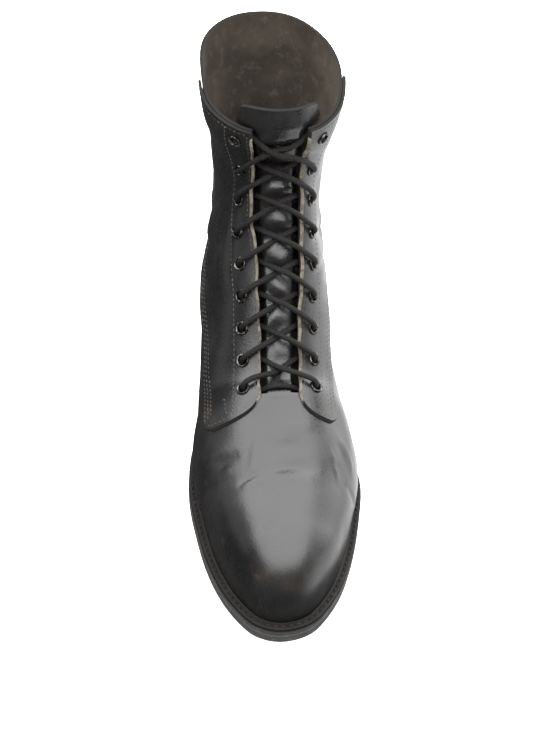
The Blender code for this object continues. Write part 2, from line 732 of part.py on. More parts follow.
def make_quarter(side, finish, group):
    """Panel over the upper, on the upper's own rows and columns, ending at its lower edge."""
    name = ("quarter_medial", "quarter_lateral")[side]
    sections = section_rows()[0]
    sections = sections[sections > QUARTER_START]
    points, lines = [], []
    for share in np.linspace(0, 1, QUARTER_COLUMNS + 1):
        low = float(table(QUARTER_EDGE, share)[0])
        rows = [(-1, low)] + [(i, t) for i, t in enumerate(sections) if t > low + 0.07]
        line = {}
        for i, t in rows:
            g = throat(t, side) + (seam(t, side) - throat(t, side)) * share
            line[i] = len(points)
            points.append(LAST.at(t, (-1, 1)[side] * g, PANEL_GAP))
        lines.append(line)
    faces = []
    for one, two in zip(lines, lines[1:]):
        first = max(min(i for i in line if i >= 0) for line in (one, two))
        foot = [one[i] for i in sorted(one) if i <= first]
        foot += [two[i] for i in sorted(two, reverse=True) if i <= first]
        faces.append(foot)
        faces += [(one[i], one[i + 1], two[i + 1], two[i]) for i in range(first, len(sections) - 1)]
    if side == 1:
        faces = [face[::-1] for face in faces]
    obj = add_mesh(name, points, faces, finish, group)
    solidify(obj, QUARTER_LEATHER, outward=True)
    return obj


def make_tongue(finish, group):
    sections, throat_row, _ = section_rows()
    sections = sections[throat_row - 1:]
    depth = LEATHER + TONGUE_CLEARANCE
    keep = LOW_COLUMNS + QUARTER_COLUMNS - TONGUE_COLUMNS
    points = []
    for t in sections:
        g = upper_girths(t)
        g = g[keep:len(g) - keep]
        points.append(LAST.at(np.full(len(g), t), g, -depth))
    width = len(points[0])
    up = points[-1] - points[-2]
    up /= np.linalg.norm(up, axis=1)[:, None]
    points.append(points[-1] + up * TONGUE_ABOVE_COLLAR)
    rows = len(points)
    points = np.array(points).reshape(-1, 3)
    faces = grid_faces(rows, width, lambda i, j: i * width + j)
    faces = [face[::-1] for face in faces]
    obj = add_mesh("tongue", points, faces, finish, group)
    solidify(obj, TONGUE_THICK, outward=False)
    return obj


# Eyelets and lace
def eyelet_sections():
    """Sections of the eyelet pairs, evenly apart along the throat's edge."""
    t = np.linspace(THROAT_SECTION, LAST_SECTION, 400)
    line = LAST.at(t, -throat(t, 0), 0.0)
    run = np.concatenate([[0], np.cumsum(np.linalg.norm(np.diff(line, axis=0), axis=1))])
    spots = np.linspace(FIRST_EYELET, run[-1] - LAST_EYELET, EYELET_PAIRS)
    return np.interp(spots, run, t)


def across(t, reach, offset):
    """Point a reach across the throat from the top line, inner side negative."""
    side = int(reach > 0)
    return LAST.at(t, reach / float(LAST.girth_at(t, side)), offset)


def make_eyelets(finish, group):
    bpy.ops.mesh.primitive_torus_add(
        major_segments=10, minor_segments=4,
        major_radius=(EYELET_OUTER + EYELET_INNER) / 2,
        minor_radius=(EYELET_OUTER - EYELET_INNER) / 2,
    )
    first = bpy.context.active_object
    ring = first.data
    for vertex in ring.vertices:
        vertex.co.z *= EYELET_PROUD / ((EYELET_OUTER - EYELET_INNER) / 2)
    ring.materials.append(finish)
    ring.name = "eyelet"
    bpy.data.objects.remove(first)
    for side, word in enumerate(("medial", "lateral")):
        sign = (-1, 1)[side]
        for number, t in enumerate(eyelet_sections(), 1):
            reach = sign * float(half_gap(t, side) + EYELET_FROM_EDGE)
            low = across(t, reach, QUARTER_TOP + SEAT_GAP + EYELET_PROUD)
            high = across(t, reach, QUARTER_TOP + SEAT_GAP + 2 * EYELET_PROUD)
            obj = bpy.data.objects.new(f"eyelet_{word}_{number}", ring)
            obj.location = low
            obj.rotation_euler = Vector(high - low).to_track_quat("Z", "Y").to_euler()
            group.objects.link(obj)


def tube(name, points, finish, group):
    """Lace through the points, as a closed mesh."""
    curve = bpy.data.curves.new(name, "CURVE")
    curve.dimensions = "3D"
    curve.bevel_depth = LACE_RADIUS
    curve.bevel_resolution = 1
    curve.use_fill_caps = True
    spline = curve.splines.new("POLY")
    spline.points.add(len(points) - 1)
    for spot, point in zip(spline.points, points):
        spot.co = (*map(float, point), 1)
    holder = bpy.data.objects.new(name, curve)
    group.objects.link(holder)
    bpy.context.view_layer.update()
    evaluated = holder.evaluated_get(bpy.context.evaluated_depsgraph_get())
    mesh = bpy.data.meshes.new_from_object(evaluated)
    bpy.data.objects.remove(holder)
    shape = bmesh.new()
    shape.from_mesh(mesh)
    bmesh.ops.remove_doubles(shape, verts=shape.verts, dist=1e-5)
    bmesh.ops.recalc_face_normals(shape, faces=shape.faces)
    shape.to_mesh(mesh)
    shape.free()
    mesh.materials.clear()
    mesh.materials.append(finish)
    mesh.name = name
    obj = bpy.data.objects.new(name, mesh)
    group.objects.link(obj)
    return obj


def strand(low, high, side):
    """Lace from the rim of the hole at the low section on this side, over the quarter's edge and
    down under the other quarter's edge at the high section."""
    here, there = float(half_gap(low, side)), float(half_gap(high, 1 - side))
    over = QUARTER_TOP + SEAT_GAP + LACE_RADIUS
    hole = here + EYELET_FROM_EDGE
    spots = (
        (EYELET_OUTER + LACE_RADIUS + GAP - hole, over),
        (-here - GAP, over),
        (-0.70 * here, 0.90 * over),
        (-0.20 * here, 0.62 * over),
        (0.25 * there, 0.36 * over),
        (0.60 * there, 0.14 * over),
        (there - LACE_RADIUS - 2 * GAP, 0.0),
    )
    points = []
    for reach, height in spots:
        t = low + (high - low) * (reach + hole) / (hole + there)
        points.append((t, (1, -1)[side] * reach, height))
    return points


def make_laces(finish, group, cutters):
    sections = eyelet_sections()
    for number, (low, high) in enumerate(zip(sections, sections[1:]), 1):
        inner = [across(*spot) for spot in strand(low, high, 0)]
        outer = [across(t, reach, height + STRAND_LIFT * (1 - abs(reach) / STRAND_REACH))
                 for t, reach, height in strand(low, high, 1)]
        obj = tube(f"lace_crossing_{number}", inner, finish, group)
        other = tube(f"lace_strand_{number}", outer, finish, group)
        cut(obj, other, cutters, "UNION")
    first = sections[0]
    ends = [sign * (float(half_gap(first, side)) - LACE_RADIUS - 2 * GAP)
            for side, sign in ((0, -1), (1, 1))]
    points = [across(first, reach, -BAR_DROP) for reach in np.linspace(*ends, 5)]
    tube("lace_bar", points, finish, group)


def main():
    clear_scene()
    boot = collection("combat_boot")
    cutters = collection("cutters")
    leather = material("black_leather", (0.022, 0.021, 0.021), 0.38)
    rubber = material("black_rubber", (0.030, 0.030, 0.031), 0.62)
    welt_leather = material("welt_leather", (0.045, 0.032, 0.024), 0.60)
    board = material("insole_board", (0.18, 0.13, 0.09), 0.85)
    metal = material("worn_metal", (0.35, 0.34, 0.33), 0.35, 0.9)
    cotton = material("waxed_cotton", (0.030, 0.024, 0.021), 0.80)
    make_outsole(rubber, boot, cutters)
    make_heel(rubber, boot, cutters)
    make_midsole(rubber, boot)
    make_welt(welt_leather, boot)
    make_insole(board, boot)
    make_upper(leather, boot)
    make_quarter(0, leather, boot)
    make_quarter(1, leather, boot)
    make_tongue(leather, boot)
    make_eyelets(metal, boot)
    make_laces(cotton, boot, cutters)


main()
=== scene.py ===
"""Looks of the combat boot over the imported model: leather, stitches, eyelets, lace and a worn sole."""

import math

import bmesh
import bpy
import numpy as np
from mathutils import Matrix, Vector


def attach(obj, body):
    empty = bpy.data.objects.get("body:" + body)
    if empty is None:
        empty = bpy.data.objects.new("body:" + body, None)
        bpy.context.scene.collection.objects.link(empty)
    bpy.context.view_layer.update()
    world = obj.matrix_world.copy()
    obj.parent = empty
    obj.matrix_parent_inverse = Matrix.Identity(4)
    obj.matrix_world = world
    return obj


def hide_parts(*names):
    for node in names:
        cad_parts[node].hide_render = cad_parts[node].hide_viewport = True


bl_info = {
    "name": "Combat boot",
    "version": (1, 0, 0),
    "blender": (4, 5, 0),
    "location": "3D View > Sidebar > Boot",
    "description": "Builds a worn left combat boot around its packed solids",
    "category": "Add Mesh",
}

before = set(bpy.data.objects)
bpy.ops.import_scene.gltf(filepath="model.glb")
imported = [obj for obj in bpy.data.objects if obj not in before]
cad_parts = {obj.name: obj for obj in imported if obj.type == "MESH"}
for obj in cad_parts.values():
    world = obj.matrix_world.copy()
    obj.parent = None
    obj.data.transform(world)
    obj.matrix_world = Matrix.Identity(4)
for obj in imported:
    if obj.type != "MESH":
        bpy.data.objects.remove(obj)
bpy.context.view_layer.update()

# Sizes shared with the solids, in metres
LENGTH = 0.308
BALL_WIDTH = 0.107
HEEL_WIDTH = 0.071
HEEL_LENGTH = 0.074
HEEL_HEIGHT = 0.026
TOE_SPRING = 0.008
TOE_HEIGHT = 0.047
INSTEP_HEIGHT = 0.079
SHAFT_HEIGHT = 0.200
SHAFT_DEPTH = 0.102
MIDSOLE_TOP = 0.0093
WELT_BASE = 0.0096
EDGE_BASE = 0.0129
WELT_LEDGE = 0.0055
HEEL_LEDGE = 0.0030
LEATHER = 0.0018
PANEL_GAP = 0.0004
QUARTER_TOP = 0.0022
EYELET_PAIRS = 9
EYELET_FROM_EDGE = 0.0105
FIRST_EYELET = 0.0045
LAST_EYELET = 0.0085
INSOLE_THICK = 0.0030
INSOLE_CLEARANCE = 0.0028
GAP = 0.0003
GROOVE_DEPTH = 0.0022
GROOVE_WIDTH = 0.0035
GROOVE_BORDER = 0.009
GROOVE_POINT = 0.008
TONGUE_THICK = 0.0020
EYELET_RADIUS = 0.0034
EYELET_TUBE = 0.00080
HOLE_RADIUS = 0.0031
# Points of a sheet nearer to a hole's middle than the first share of its radius fall out, and those
# nearer than the second one move to its rim
HOLE_CORE = 0.72
HOLE_AROUND = 1.30
# Inner side, then outer side: which way x runs and what it is called
SIGNS = (-1, 1)
WORDS = ("medial", "lateral")
MILLIMETRE = 1e-3
MILLIMETRES = 1000
# How far a raw edge slopes over its thickness, and how far the upper's edge at the throat stands
# back under the quarter's
RAW_SLOPE = 0.0011
UPPER_BACK = 0.0007

# Columns of the upper's mesh on each side: under the seam, behind the throat and across it
LOW_COLUMNS = 29
QUARTER_COLUMNS = 29
THROAT_COLUMNS = 9
# Its rows over the vamp, from the throat's foot to the heel's top and from there to the collar
VAMP_ROWS = 101
INSTEP_ROWS = 65
SHAFT_ROWS = 45
# Rows of a quarter from the throat to the seam and up the shaft, and of the tongue across, up to the
# collar and over it
QUARTER_MESH = (47, 131)
TONGUE_MESH = (49, 150, 10)

# Where the photograph was taken from, and its lens and sensor in millimetres
CAMERA = (-0.0893, -0.7519, 0.7072)
CAMERA_AIM = (0.0139, -0.0300, -0.0093)
CAMERA_ROLL = math.radians(3.6)
LENS = 72.2
SENSOR_HEIGHT = 36.0

# Outline of the sole from heel to toe: place as a share of LENGTH, then the inner and outer
# edges as shares of HEEL_WIDTH (heel rows) and of BALL_WIDTH (forepart rows)
HEEL_ROWS = (
    (0.034, -0.345, 0.345), (0.105, -0.490, 0.490), (0.190, -0.480, 0.490),
)
FOREPART_ROWS = (
    (0.290, -0.288, 0.322), (0.380, -0.325, 0.362), (0.470, -0.412, 0.425), (0.560, -0.480, 0.483),
    (0.640, -0.496, 0.506), (0.730, -0.470, 0.460), (0.820, -0.425, 0.385), (0.900, -0.352, 0.290),
    (0.963, -0.252, 0.168), (0.990, -0.165, 0.070),
)
TOE_TIP = -0.055

# Places of the tread's grooves, shares of LENGTH
FORE_GROOVES = (0.540, 0.580, 0.620, 0.760, 0.800, 0.840, 0.880, 0.920)
HEEL_GROOVES = (0.030, 0.062, 0.158, 0.190)

SEAT_END = 0.235
BALL_START = 0.615
BALL_END = 0.735

# Sections of the upper, from the toe's edge over the instep to the collar
#   seat    place of the lower point on the sole's edge, share of that edge's length
#   back    how far the heel's back lies behind the seat, share of SHAFT_DEPTH
#   rise    height of the back point over the seat, share of SHAFT_HEIGHT
#   top     place of the upper point, share of LENGTH
#   toe, instep, shaft   its height over the sole's edge, as shares of TOE_HEIGHT,
#           INSTEP_HEIGHT and SHAFT_HEIGHT, which are added
#   inner, outer   widest half-widths, shares of BALL_WIDTH
#   widest  where that is, as a share of the way from the lower to the upper point
#   full    how square the upper part is (2 is an ellipse), and rear the same for the lower part
#   ridge   sideways place of the top line, share of BALL_WIDTH
SECTION_COLUMNS = ("seat", "back", "rise", "top", "toe", "instep", "shaft",
                   "inner", "outer", "widest", "full", "rear", "ridge")
SECTIONS = (
    (0.915, 0.00, 0.00, 0.982, 0.00, 0.00, 0.00, 0.400, 0.360, 0.30, 2.3, 2.0, -0.055),
    (0.870, 0.00, 0.00, 0.977, 0.42, 0.00, 0.00, 0.415, 0.385, 0.30, 2.3, 2.0, -0.052),
    (0.825, 0.00, 0.00, 0.955, 0.74, 0.00, 0.00, 0.440, 0.410, 0.30, 2.3, 2.0, -0.048),
    (0.785, 0.00, 0.00, 0.918, 0.93, 0.00, 0.00, 0.455, 0.430, 0.30, 2.3, 2.0, -0.042),
    (0.740, 0.00, 0.00, 0.862, 1.03, 0.02, 0.00, 0.463, 0.445, 0.30, 2.3, 2.0, -0.035),
    (0.690, 0.00, 0.00, 0.790, 0.86, 0.20, 0.00, 0.472, 0.465, 0.30, 2.2, 2.0, -0.026),
    (0.630, 0.00, 0.00, 0.712, 0.55, 0.49, 0.00, 0.478, 0.466, 0.32, 2.1, 2.0, -0.014),
    (0.565, 0.00, 0.00, 0.645, 0.25, 0.78, 0.00, 0.468, 0.440, 0.34, 2.1, 2.0, -0.004),
    (0.500, 0.00, 0.00, 0.588, 0.08, 0.97, 0.00, 0.438, 0.408, 0.36, 2.0, 2.0, 0.004),
    (0.410, 0.00, 0.00, 0.528, 0.00, 1.00, 0.07, 0.412, 0.366, 0.38, 2.0, 2.0, 0.010),
    (0.310, 0.00, 0.00, 0.470, 0.00, 0.97, 0.18, 0.392, 0.346, 0.40, 2.0, 2.1, 0.014),
    (0.210, 0.00, 0.00, 0.422, 0.00, 0.93, 0.28, 0.386, 0.342, 0.42, 2.1, 2.2, 0.018),
    (0.110, 0.00, 0.00, 0.382, 0.00, 0.86, 0.40, 0.360, 0.328, 0.42, 2.1, 2.3, 0.022),
    (0.035, 0.00, 0.00, 0.357, 0.00, 0.76, 0.52, 0.326, 0.320, 0.42, 2.2, 2.4, 0.025),
    (0.000, 0.00, 0.00, 0.346, 0.00, 0.66, 0.60, 0.306, 0.314, 0.42, 2.2, 2.5, 0.026),
    (0.000, 0.01, 0.09, 0.342, 0.00, 0.52, 0.69, 0.294, 0.308, 0.44, 2.2, 2.5, 0.027),
    (0.000, -0.03, 0.24, 0.340, 0.00, 0.36, 0.78, 0.290, 0.302, 0.46, 2.3, 2.4, 0.028),
    (0.000, -0.09, 0.42, 0.342, 0.00, 0.22, 0.86, 0.297, 0.308, 0.48, 2.3, 2.3, 0.029),
    (0.000, -0.09, 0.61, 0.345, 0.00, 0.12, 0.91, 0.320, 0.330, 0.50, 2.3, 2.2, 0.030),
    (0.000, -0.06, 0.80, 0.349, 0.00, 0.04, 0.97, 0.360, 0.366, 0.50, 2.3, 2.2, 0.030),
    (0.000, -0.03, 0.98, 0.353, 0.00, 0.00, 1.02, 0.385, 0.391, 0.50, 2.3, 2.2, 0.030),
)
TOE_SECTIONS = 4.0
FOOT_SECTIONS = 7.0
RIDGE_FADES = 9.0
HEEL_SECTION = 14.0
LAST_SECTION = 20.0
THROAT_SECTION = 7.50
# How far the toe's sides swell past the sole's inner line, share of the width
TOE_SWELL = 0.03

# Half the throat's gap, measured over the surface from the top line: section, inner, outer.
THROAT_ROWS = (
    (7.50, 0.0108, 0.0116), (9.50, 0.0106, 0.0132), (11.0, 0.0116, 0.0156), (12.5, 0.0148, 0.0160),
    (20.0, 0.0160, 0.0160),
)
# Side seam of the quarters: section, inner and outer shares of the way down from the top line.
SEAM_ROWS = (
    (6.6, 0.465, 0.370), (7.6, 0.480, 0.365), (8.6, 0.498, 0.405), (10.2, 0.488, 0.450),
    (12.0, 0.450, 0.450), (13.5, 0.422, 0.425), (15.0, 0.425, 0.428), (17.0, 0.450, 0.450),
    (20.0, 0.465, 0.465),
)
# Lower edge of a quarter: share of the way from the throat to the side seam, section.
QUARTER_EDGE = (
    (0.00, 7.42), (0.04, 7.30), (0.14, 7.05), (0.28, 6.89), (0.50, 6.77), (0.80, 6.71),
    (1.00, 6.86),
)


def smooth(x):
    x = np.clip(x, 0.0, 1.0)
    return x * x * (3.0 - 2.0 * x)


def monotone(x, xs, ys):
    """Cubic through the rows of a table that never swings past them."""
    x = np.clip(np.asarray(x, float), xs[0], xs[-1])
    step = np.diff(xs)
    rate = np.diff(ys) / step
    slope = np.empty(len(xs))
    slope[0], slope[-1] = rate[0], rate[-1]
    same = rate[1:] * rate[:-1] > 0
    mean = np.where(same, 2 * rate[1:] * rate[:-1] / np.where(same, rate[1:] + rate[:-1], 1), 0)
    slope[1:-1] = mean
    i = np.clip(np.searchsorted(xs, x, side="right") - 1, 0, len(xs) - 2)
    t = (x - xs[i]) / step[i]
    a, b = ys[i], ys[i + 1]
    return (
        (1 + 2 * t) * (1 - t) ** 2 * a
        + t * (1 - t) ** 2 * step[i] * slope[i]
        + t * t * (3 - 2 * t) * b
        + t * t * (t - 1) * step[i] * slope[i + 1]
    )


def table(rows, x):
    xs = np.array([row[0] for row in rows], float)
    return [monotone(x, xs, np.array([row[k] for row in rows], float)) for k in range(1, len(rows[0]))]


def run_of(points):
    """Length run along a line up to each of its points."""
    return np.concatenate([[0], np.cumsum(np.linalg.norm(np.diff(points, axis=0), axis=1))])


def along_run(points, run, spots):
    """Points of a line at lengths of its run."""
    return np.stack([np.interp(spots, run, points[:, k]) for k in range(3)], axis=1)


def span(a, b, c, d, t):
    """Smooth curve from b to c, with the neighbours a and d."""
    return 0.5 * (2 * b + (c - a) * t + (2 * a - 5 * b + 4 * c - d) * t**2
                  + (3 * b - a - 3 * c + d) * t**3)


def closed_curve(points, steps):
    """Smooth closed curve through the points, with its steps on each span."""
    points = np.array(points, float)
    count = len(points)
    t = np.linspace(0, 1, steps, endpoint=False)[:, None]
    spans = []
    for i in range(count):
        spans.append(span(*(points[(i + k) % count] for k in (-1, 0, 1, 2)), t))
    return np.concatenate(spans)


# The sole's outline, as points (x, place from heel to toe), inner side first
def sole_outline():
    heel = [(place, inner * HEEL_WIDTH, outer * HEEL_WIDTH) for place, inner, outer in HEEL_ROWS]
    fore = [(place, inner * BALL_WIDTH, outer * BALL_WIDTH) for place, inner, outer in FOREPART_ROWS]
    rows = heel + fore
    inner_side = [(inner, place * LENGTH) for place, inner, _ in rows]
    outer_side = [(outer, place * LENGTH) for place, _, outer in rows]
    points = [(0.0, 0.0)] + inner_side + [(TOE_TIP * BALL_WIDTH, LENGTH)] + outer_side[::-1]
    return closed_curve(points, 12)


def ledge(place):
    """How far the upper stands in from the sole's edge."""
    return HEEL_LEDGE + (WELT_LEDGE - HEEL_LEDGE) * smooth((place / LENGTH - 0.30) / 0.22)


def inset_outline(outline, inset):
    ahead = np.roll(outline, -1, axis=0) - np.roll(outline, 1, axis=0)
    ahead /= np.linalg.norm(ahead, axis=1)[:, None]
    inward = np.stack([ahead[:, 1], -ahead[:, 0]], axis=1)
    return outline + inward * np.asarray(inset)[:, None]


def sides_of(outline):
    """Inner and outer edges as (places, x), each from heel to toe."""
    heel = int(outline[:, 1].argmin())
    turned = np.roll(outline, -heel, axis=0)
    toe = int(turned[:, 1].argmax())
    inner = turned[: toe + 1]
    outer = np.vstack([turned[toe:], turned[:1]])[::-1]
    return [(np.maximum.accumulate(side[:, 1]), side[:, 0]) for side in (inner, outer)]


OUTLINE = sole_outline()
LEDGES = ledge(OUTLINE[:, 1])
FEATHER = inset_outline(OUTLINE, LEDGES)
FEATHER_SIDES = sides_of(FEATHER)
FEATHER_HEEL = FEATHER[:, 1].min()
FEATHER_TOE = FEATHER[:, 1].max()
HEEL_MIDDLE = HEEL_LENGTH / 2


def world_y(place):
    return HEEL_MIDDLE - place


def bottom_line(place):
    """Height of the outsole's underside over the floor."""
    share = np.asarray(place) / LENGTH
    heel = HEEL_HEIGHT * smooth((BALL_START - share) / (BALL_START - SEAT_END))
    toe = TOE_SPRING * np.clip((share - BALL_END) / (1 - BALL_END), 0, 1.1) ** 1.7
    return heel + toe


def edge_height(place):
    """Height of the line where the upper meets the welt's top."""
    return bottom_line(place) + EDGE_BASE


# The upper's surface
def section_values(t):
    xs = np.arange(len(SECTIONS), dtype=float)
    columns = np.array(SECTIONS, float).T
    return {name: monotone(t, xs, column) for name, column in zip(SECTION_COLUMNS, columns)}


def place_of_seat(seat):
    return FEATHER_HEEL + seat * (FEATHER_TOE - FEATHER_HEEL)


def top_point(values):
    place = np.minimum(values["top"] * LENGTH, FEATHER_TOE)
    height = (edge_height(place * 0 + LENGTH * BALL_START)
              + values["toe"] * TOE_HEIGHT
              + values["instep"] * INSTEP_HEIGHT
              + values["shaft"] * SHAFT_HEIGHT)
    return place, height


TOP_T = np.linspace(0, LAST_SECTION, 241)
TOP_PLACE, TOP_HEIGHT = top_point(section_values(TOP_T))
TOE_ARC = TOP_T <= HEEL_SECTION


def toe_lift(place):
    return edge_height(place) - edge_height(LENGTH * BALL_START)


def top_height_at(place):
    """Height of the toe's and vamp's top line over a place, with the toe's spring."""
    heights = np.interp(-place, -TOP_PLACE[TOE_ARC], TOP_HEIGHT[TOE_ARC])
    return heights + toe_lift(np.maximum(place, BALL_END * LENGTH))


def half_section(t, side, samples=97):
    """Points (x, place, height) of one half of a section, from its lower to its upper point."""
    values = {name: float(value) for name, value in section_values(t).items()}
    seat = float(place_of_seat(values["seat"]))
    places, edges = FEATHER_SIDES[side]
    sign = SIGNS[side]
    low_place = seat - values["back"] * SHAFT_DEPTH
    low_height = float(edge_height(seat)) + values["rise"] * SHAFT_HEIGHT
    high_place, high_height = (float(value) for value in top_point(values))
    high_height += float(toe_lift(max(high_place, BALL_END * LENGTH)))
    h = (1 - np.cos(np.linspace(0, math.pi, samples))) / 2
    place = low_place + (high_place - low_place) * h
    height = low_height + (high_height - low_height) * h
    at = values["widest"]
    ridge = values["ridge"] * BALL_WIDTH
    low_ridge = ridge * (1 - float(smooth((t - RIDGE_FADES) / (HEEL_SECTION - RIDGE_FADES))))
    middle = low_ridge + (ridge - low_ridge) * smooth(h / at)
    start = sign * (np.interp(seat, places, edges) - low_ridge) if t < HEEL_SECTION else 0.0
    start = max(float(start), 0.0)
    widest = values[("inner", "outer")[side]] * BALL_WIDTH
    reach = widest - sign * ridge * 0.5
    low = (1 - np.clip(1 - h / at, 0, 1) ** values["rear"]) ** (1 / values["rear"])
    high = (1 - np.clip((h - at) / (1 - at), 0, 1) ** values["full"]) ** (1 / values["full"])
    across = np.where(h < at, start + (reach - start) * low, reach * high)
    blend = 1 - smooth((t - TOE_SECTIONS) / (FOOT_SECTIONS - TOE_SECTIONS))
    if blend > 0:
        ends = (edge_height(low_place), edge_height(high_place))
        bend = edge_height(place) - np.interp(h, (0, 1), ends)
        height = height + blend * bend
        over = height - edge_height(place)
        tall = np.maximum(top_height_at(place) - edge_height(place), 1e-6)
        share = np.clip(over / tall, 0, 1)
        share[-1] = 1.0 if t > 0 else 0.0
        edge = np.maximum(sign * (np.interp(place, places, edges) - ridge_at(place)), 0)
        swell = 1 + TOE_SWELL * np.sqrt(1 - np.clip(1 - share / at, 0, 1) ** 2)
        crown = (1 - np.clip((share - at) / (1 - at), 0, 1) ** values["full"]) ** (1 / values["full"])
        across = blend * edge * swell * crown + (1 - blend) * across
    middle = (1 - blend) * middle + blend * ridge_at(place)
    return np.stack([middle + sign * across, place, height], axis=1)


def ridge_at(place):
    values = section_values(TOP_T)
    return np.interp(-place, -TOP_PLACE[TOE_ARC], values["ridge"][TOE_ARC]) * BALL_WIDTH


def evenly(points, count):
    """Evenly spaced points on a line, and its length."""
    run = run_of(points)
    return along_run(points, run, np.linspace(0, run[-1], count)), run[-1]


class Surface:
    """The last's surface. A spot is a section t and a girth g, from -1 at the inner side's lower
    end over 0 at the top line to 1 at the outer side's lower end."""

    def __init__(self, rows=241, half=48):
        self.t = np.linspace(0, LAST_SECTION, rows)
        grid = []
        self.girth = []
        for t in self.t:
            inner, inner_length = evenly(half_section(t, 0), half + 1)
            outer, outer_length = evenly(half_section(t, 1), half + 1)
            grid.append(np.vstack([inner, outer[::-1][1:]]))
            self.girth.append((inner_length, outer_length))
        grid = np.array(grid)
        self.girth = np.array(self.girth)
        self.g = np.linspace(-1, 1, 2 * half + 1)
        self.grid = np.stack([grid[..., 0], world_y(grid[..., 1]), grid[..., 2]], axis=-1)
        along = np.gradient(self.grid, axis=0)
        around = np.gradient(self.grid, axis=1)
        normal = np.cross(along, around)
        length = np.linalg.norm(normal, axis=-1, keepdims=True)
        normal = np.where(length > 1e-12, normal / np.maximum(length, 1e-12), 0)
        for _ in range(2):
            padded = np.pad(normal, ((1, 1), (1, 1), (0, 0)), mode="edge")
            normal = (padded[:-2, 1:-1] + padded[2:, 1:-1] + padded[1:-1, :-2] + padded[1:-1, 2:]
                      + 2 * normal)
            normal /= np.maximum(np.linalg.norm(normal, axis=-1, keepdims=True), 1e-12)
        outer_side = normal[-rows // 10, 3 * half // 2, 0]
        self.normal = normal * np.sign(outer_side)

    def sample(self, field, t, g):
        t = np.clip(np.asarray(t, float), 0, LAST_SECTION)
        g = np.clip(np.asarray(g, float), -1, 1)
        i = t / LAST_SECTION * (len(self.t) - 1)
        j = (g + 1) / 2 * (len(self.g) - 1)
        i0 = np.clip(np.floor(i).astype(int), 0, len(self.t) - 2)
        j0 = np.clip(np.floor(j).astype(int), 0, len(self.g) - 2)
        a, b = (i - i0)[..., None], (j - j0)[..., None]
        return ((1 - a) * (1 - b) * field[i0, j0] + a * (1 - b) * field[i0 + 1, j0]
                + (1 - a) * b * field[i0, j0 + 1] + a * b * field[i0 + 1, j0 + 1])

    def at(self, t, g, offset=0.0):
        t, g = np.broadcast_arrays(np.asarray(t, float), np.asarray(g, float))
        normal = self.sample(self.normal, t, g)
        normal = normal / np.maximum(np.linalg.norm(normal, axis=-1, keepdims=True), 1e-9)
        return self.sample(self.grid, t, g) + normal * np.asarray(offset)[..., None]

    def girth_at(self, t, side):
        return np.interp(t, self.t, self.girth[:, side])

    def evenly_spaced(self, first, last, count):
        """Sections whose lower ends and top line are evenly apart."""
        steps = (2 * np.linalg.norm(np.diff(self.grid[:, 0], axis=0), axis=1)
                 + np.linalg.norm(np.diff(self.grid[:, len(self.g) // 2], axis=0), axis=1)
                 + 0.5 * np.linalg.norm(np.diff(self.grid[:, len(self.g) // 4], axis=0), axis=1))
        run = np.concatenate([[0], np.cumsum(steps)])
        ends = np.interp((first, last), self.t, run)
        return np.interp(np.linspace(*ends, count), run, self.t)


LAST = Surface()


def half_gap(t, side):
    """Half the throat's gap at a section."""
    return table(THROAT_ROWS, t)[side]


def throat(t, side):
    """Share of a half girth, from the top line, at which the throat's edge lies."""
    return half_gap(t, side) / LAST.girth_at(t, side)


def seam(t, side):
    """Share of a half girth, from the top line, at which the side seam lies."""
    return table(SEAM_ROWS, t)[side]


def rim(outline, count):
    """Ring of points of an outline: inner side from heel to toe, outer side back."""
    low, high = outline[:, 1].min(), outline[:, 1].max()
    inner, outer = sides_of(outline)
    places = low + (high - low) * (1 - np.cos(np.linspace(0, math.pi, count))) / 2
    inner_x = np.interp(places, *inner)
    outer_x = np.interp(places, *outer)
    return np.array(list(zip(inner_x, places)) + list(zip(outer_x, places))[::-1][1:-1])


def eyelet_sections():
    """Sections of the eyelet pairs, evenly apart along the throat's edge."""
    t = np.linspace(THROAT_SECTION, LAST_SECTION, 400)
    line = LAST.at(t, -throat(t, 0), 0.0)
    run = run_of(line)
    spots = np.linspace(FIRST_EYELET, run[-1] - LAST_EYELET, EYELET_PAIRS)
    return np.interp(spots, run, t)


# Finer shapes laid over that surface
EYELETS = eyelet_sections()

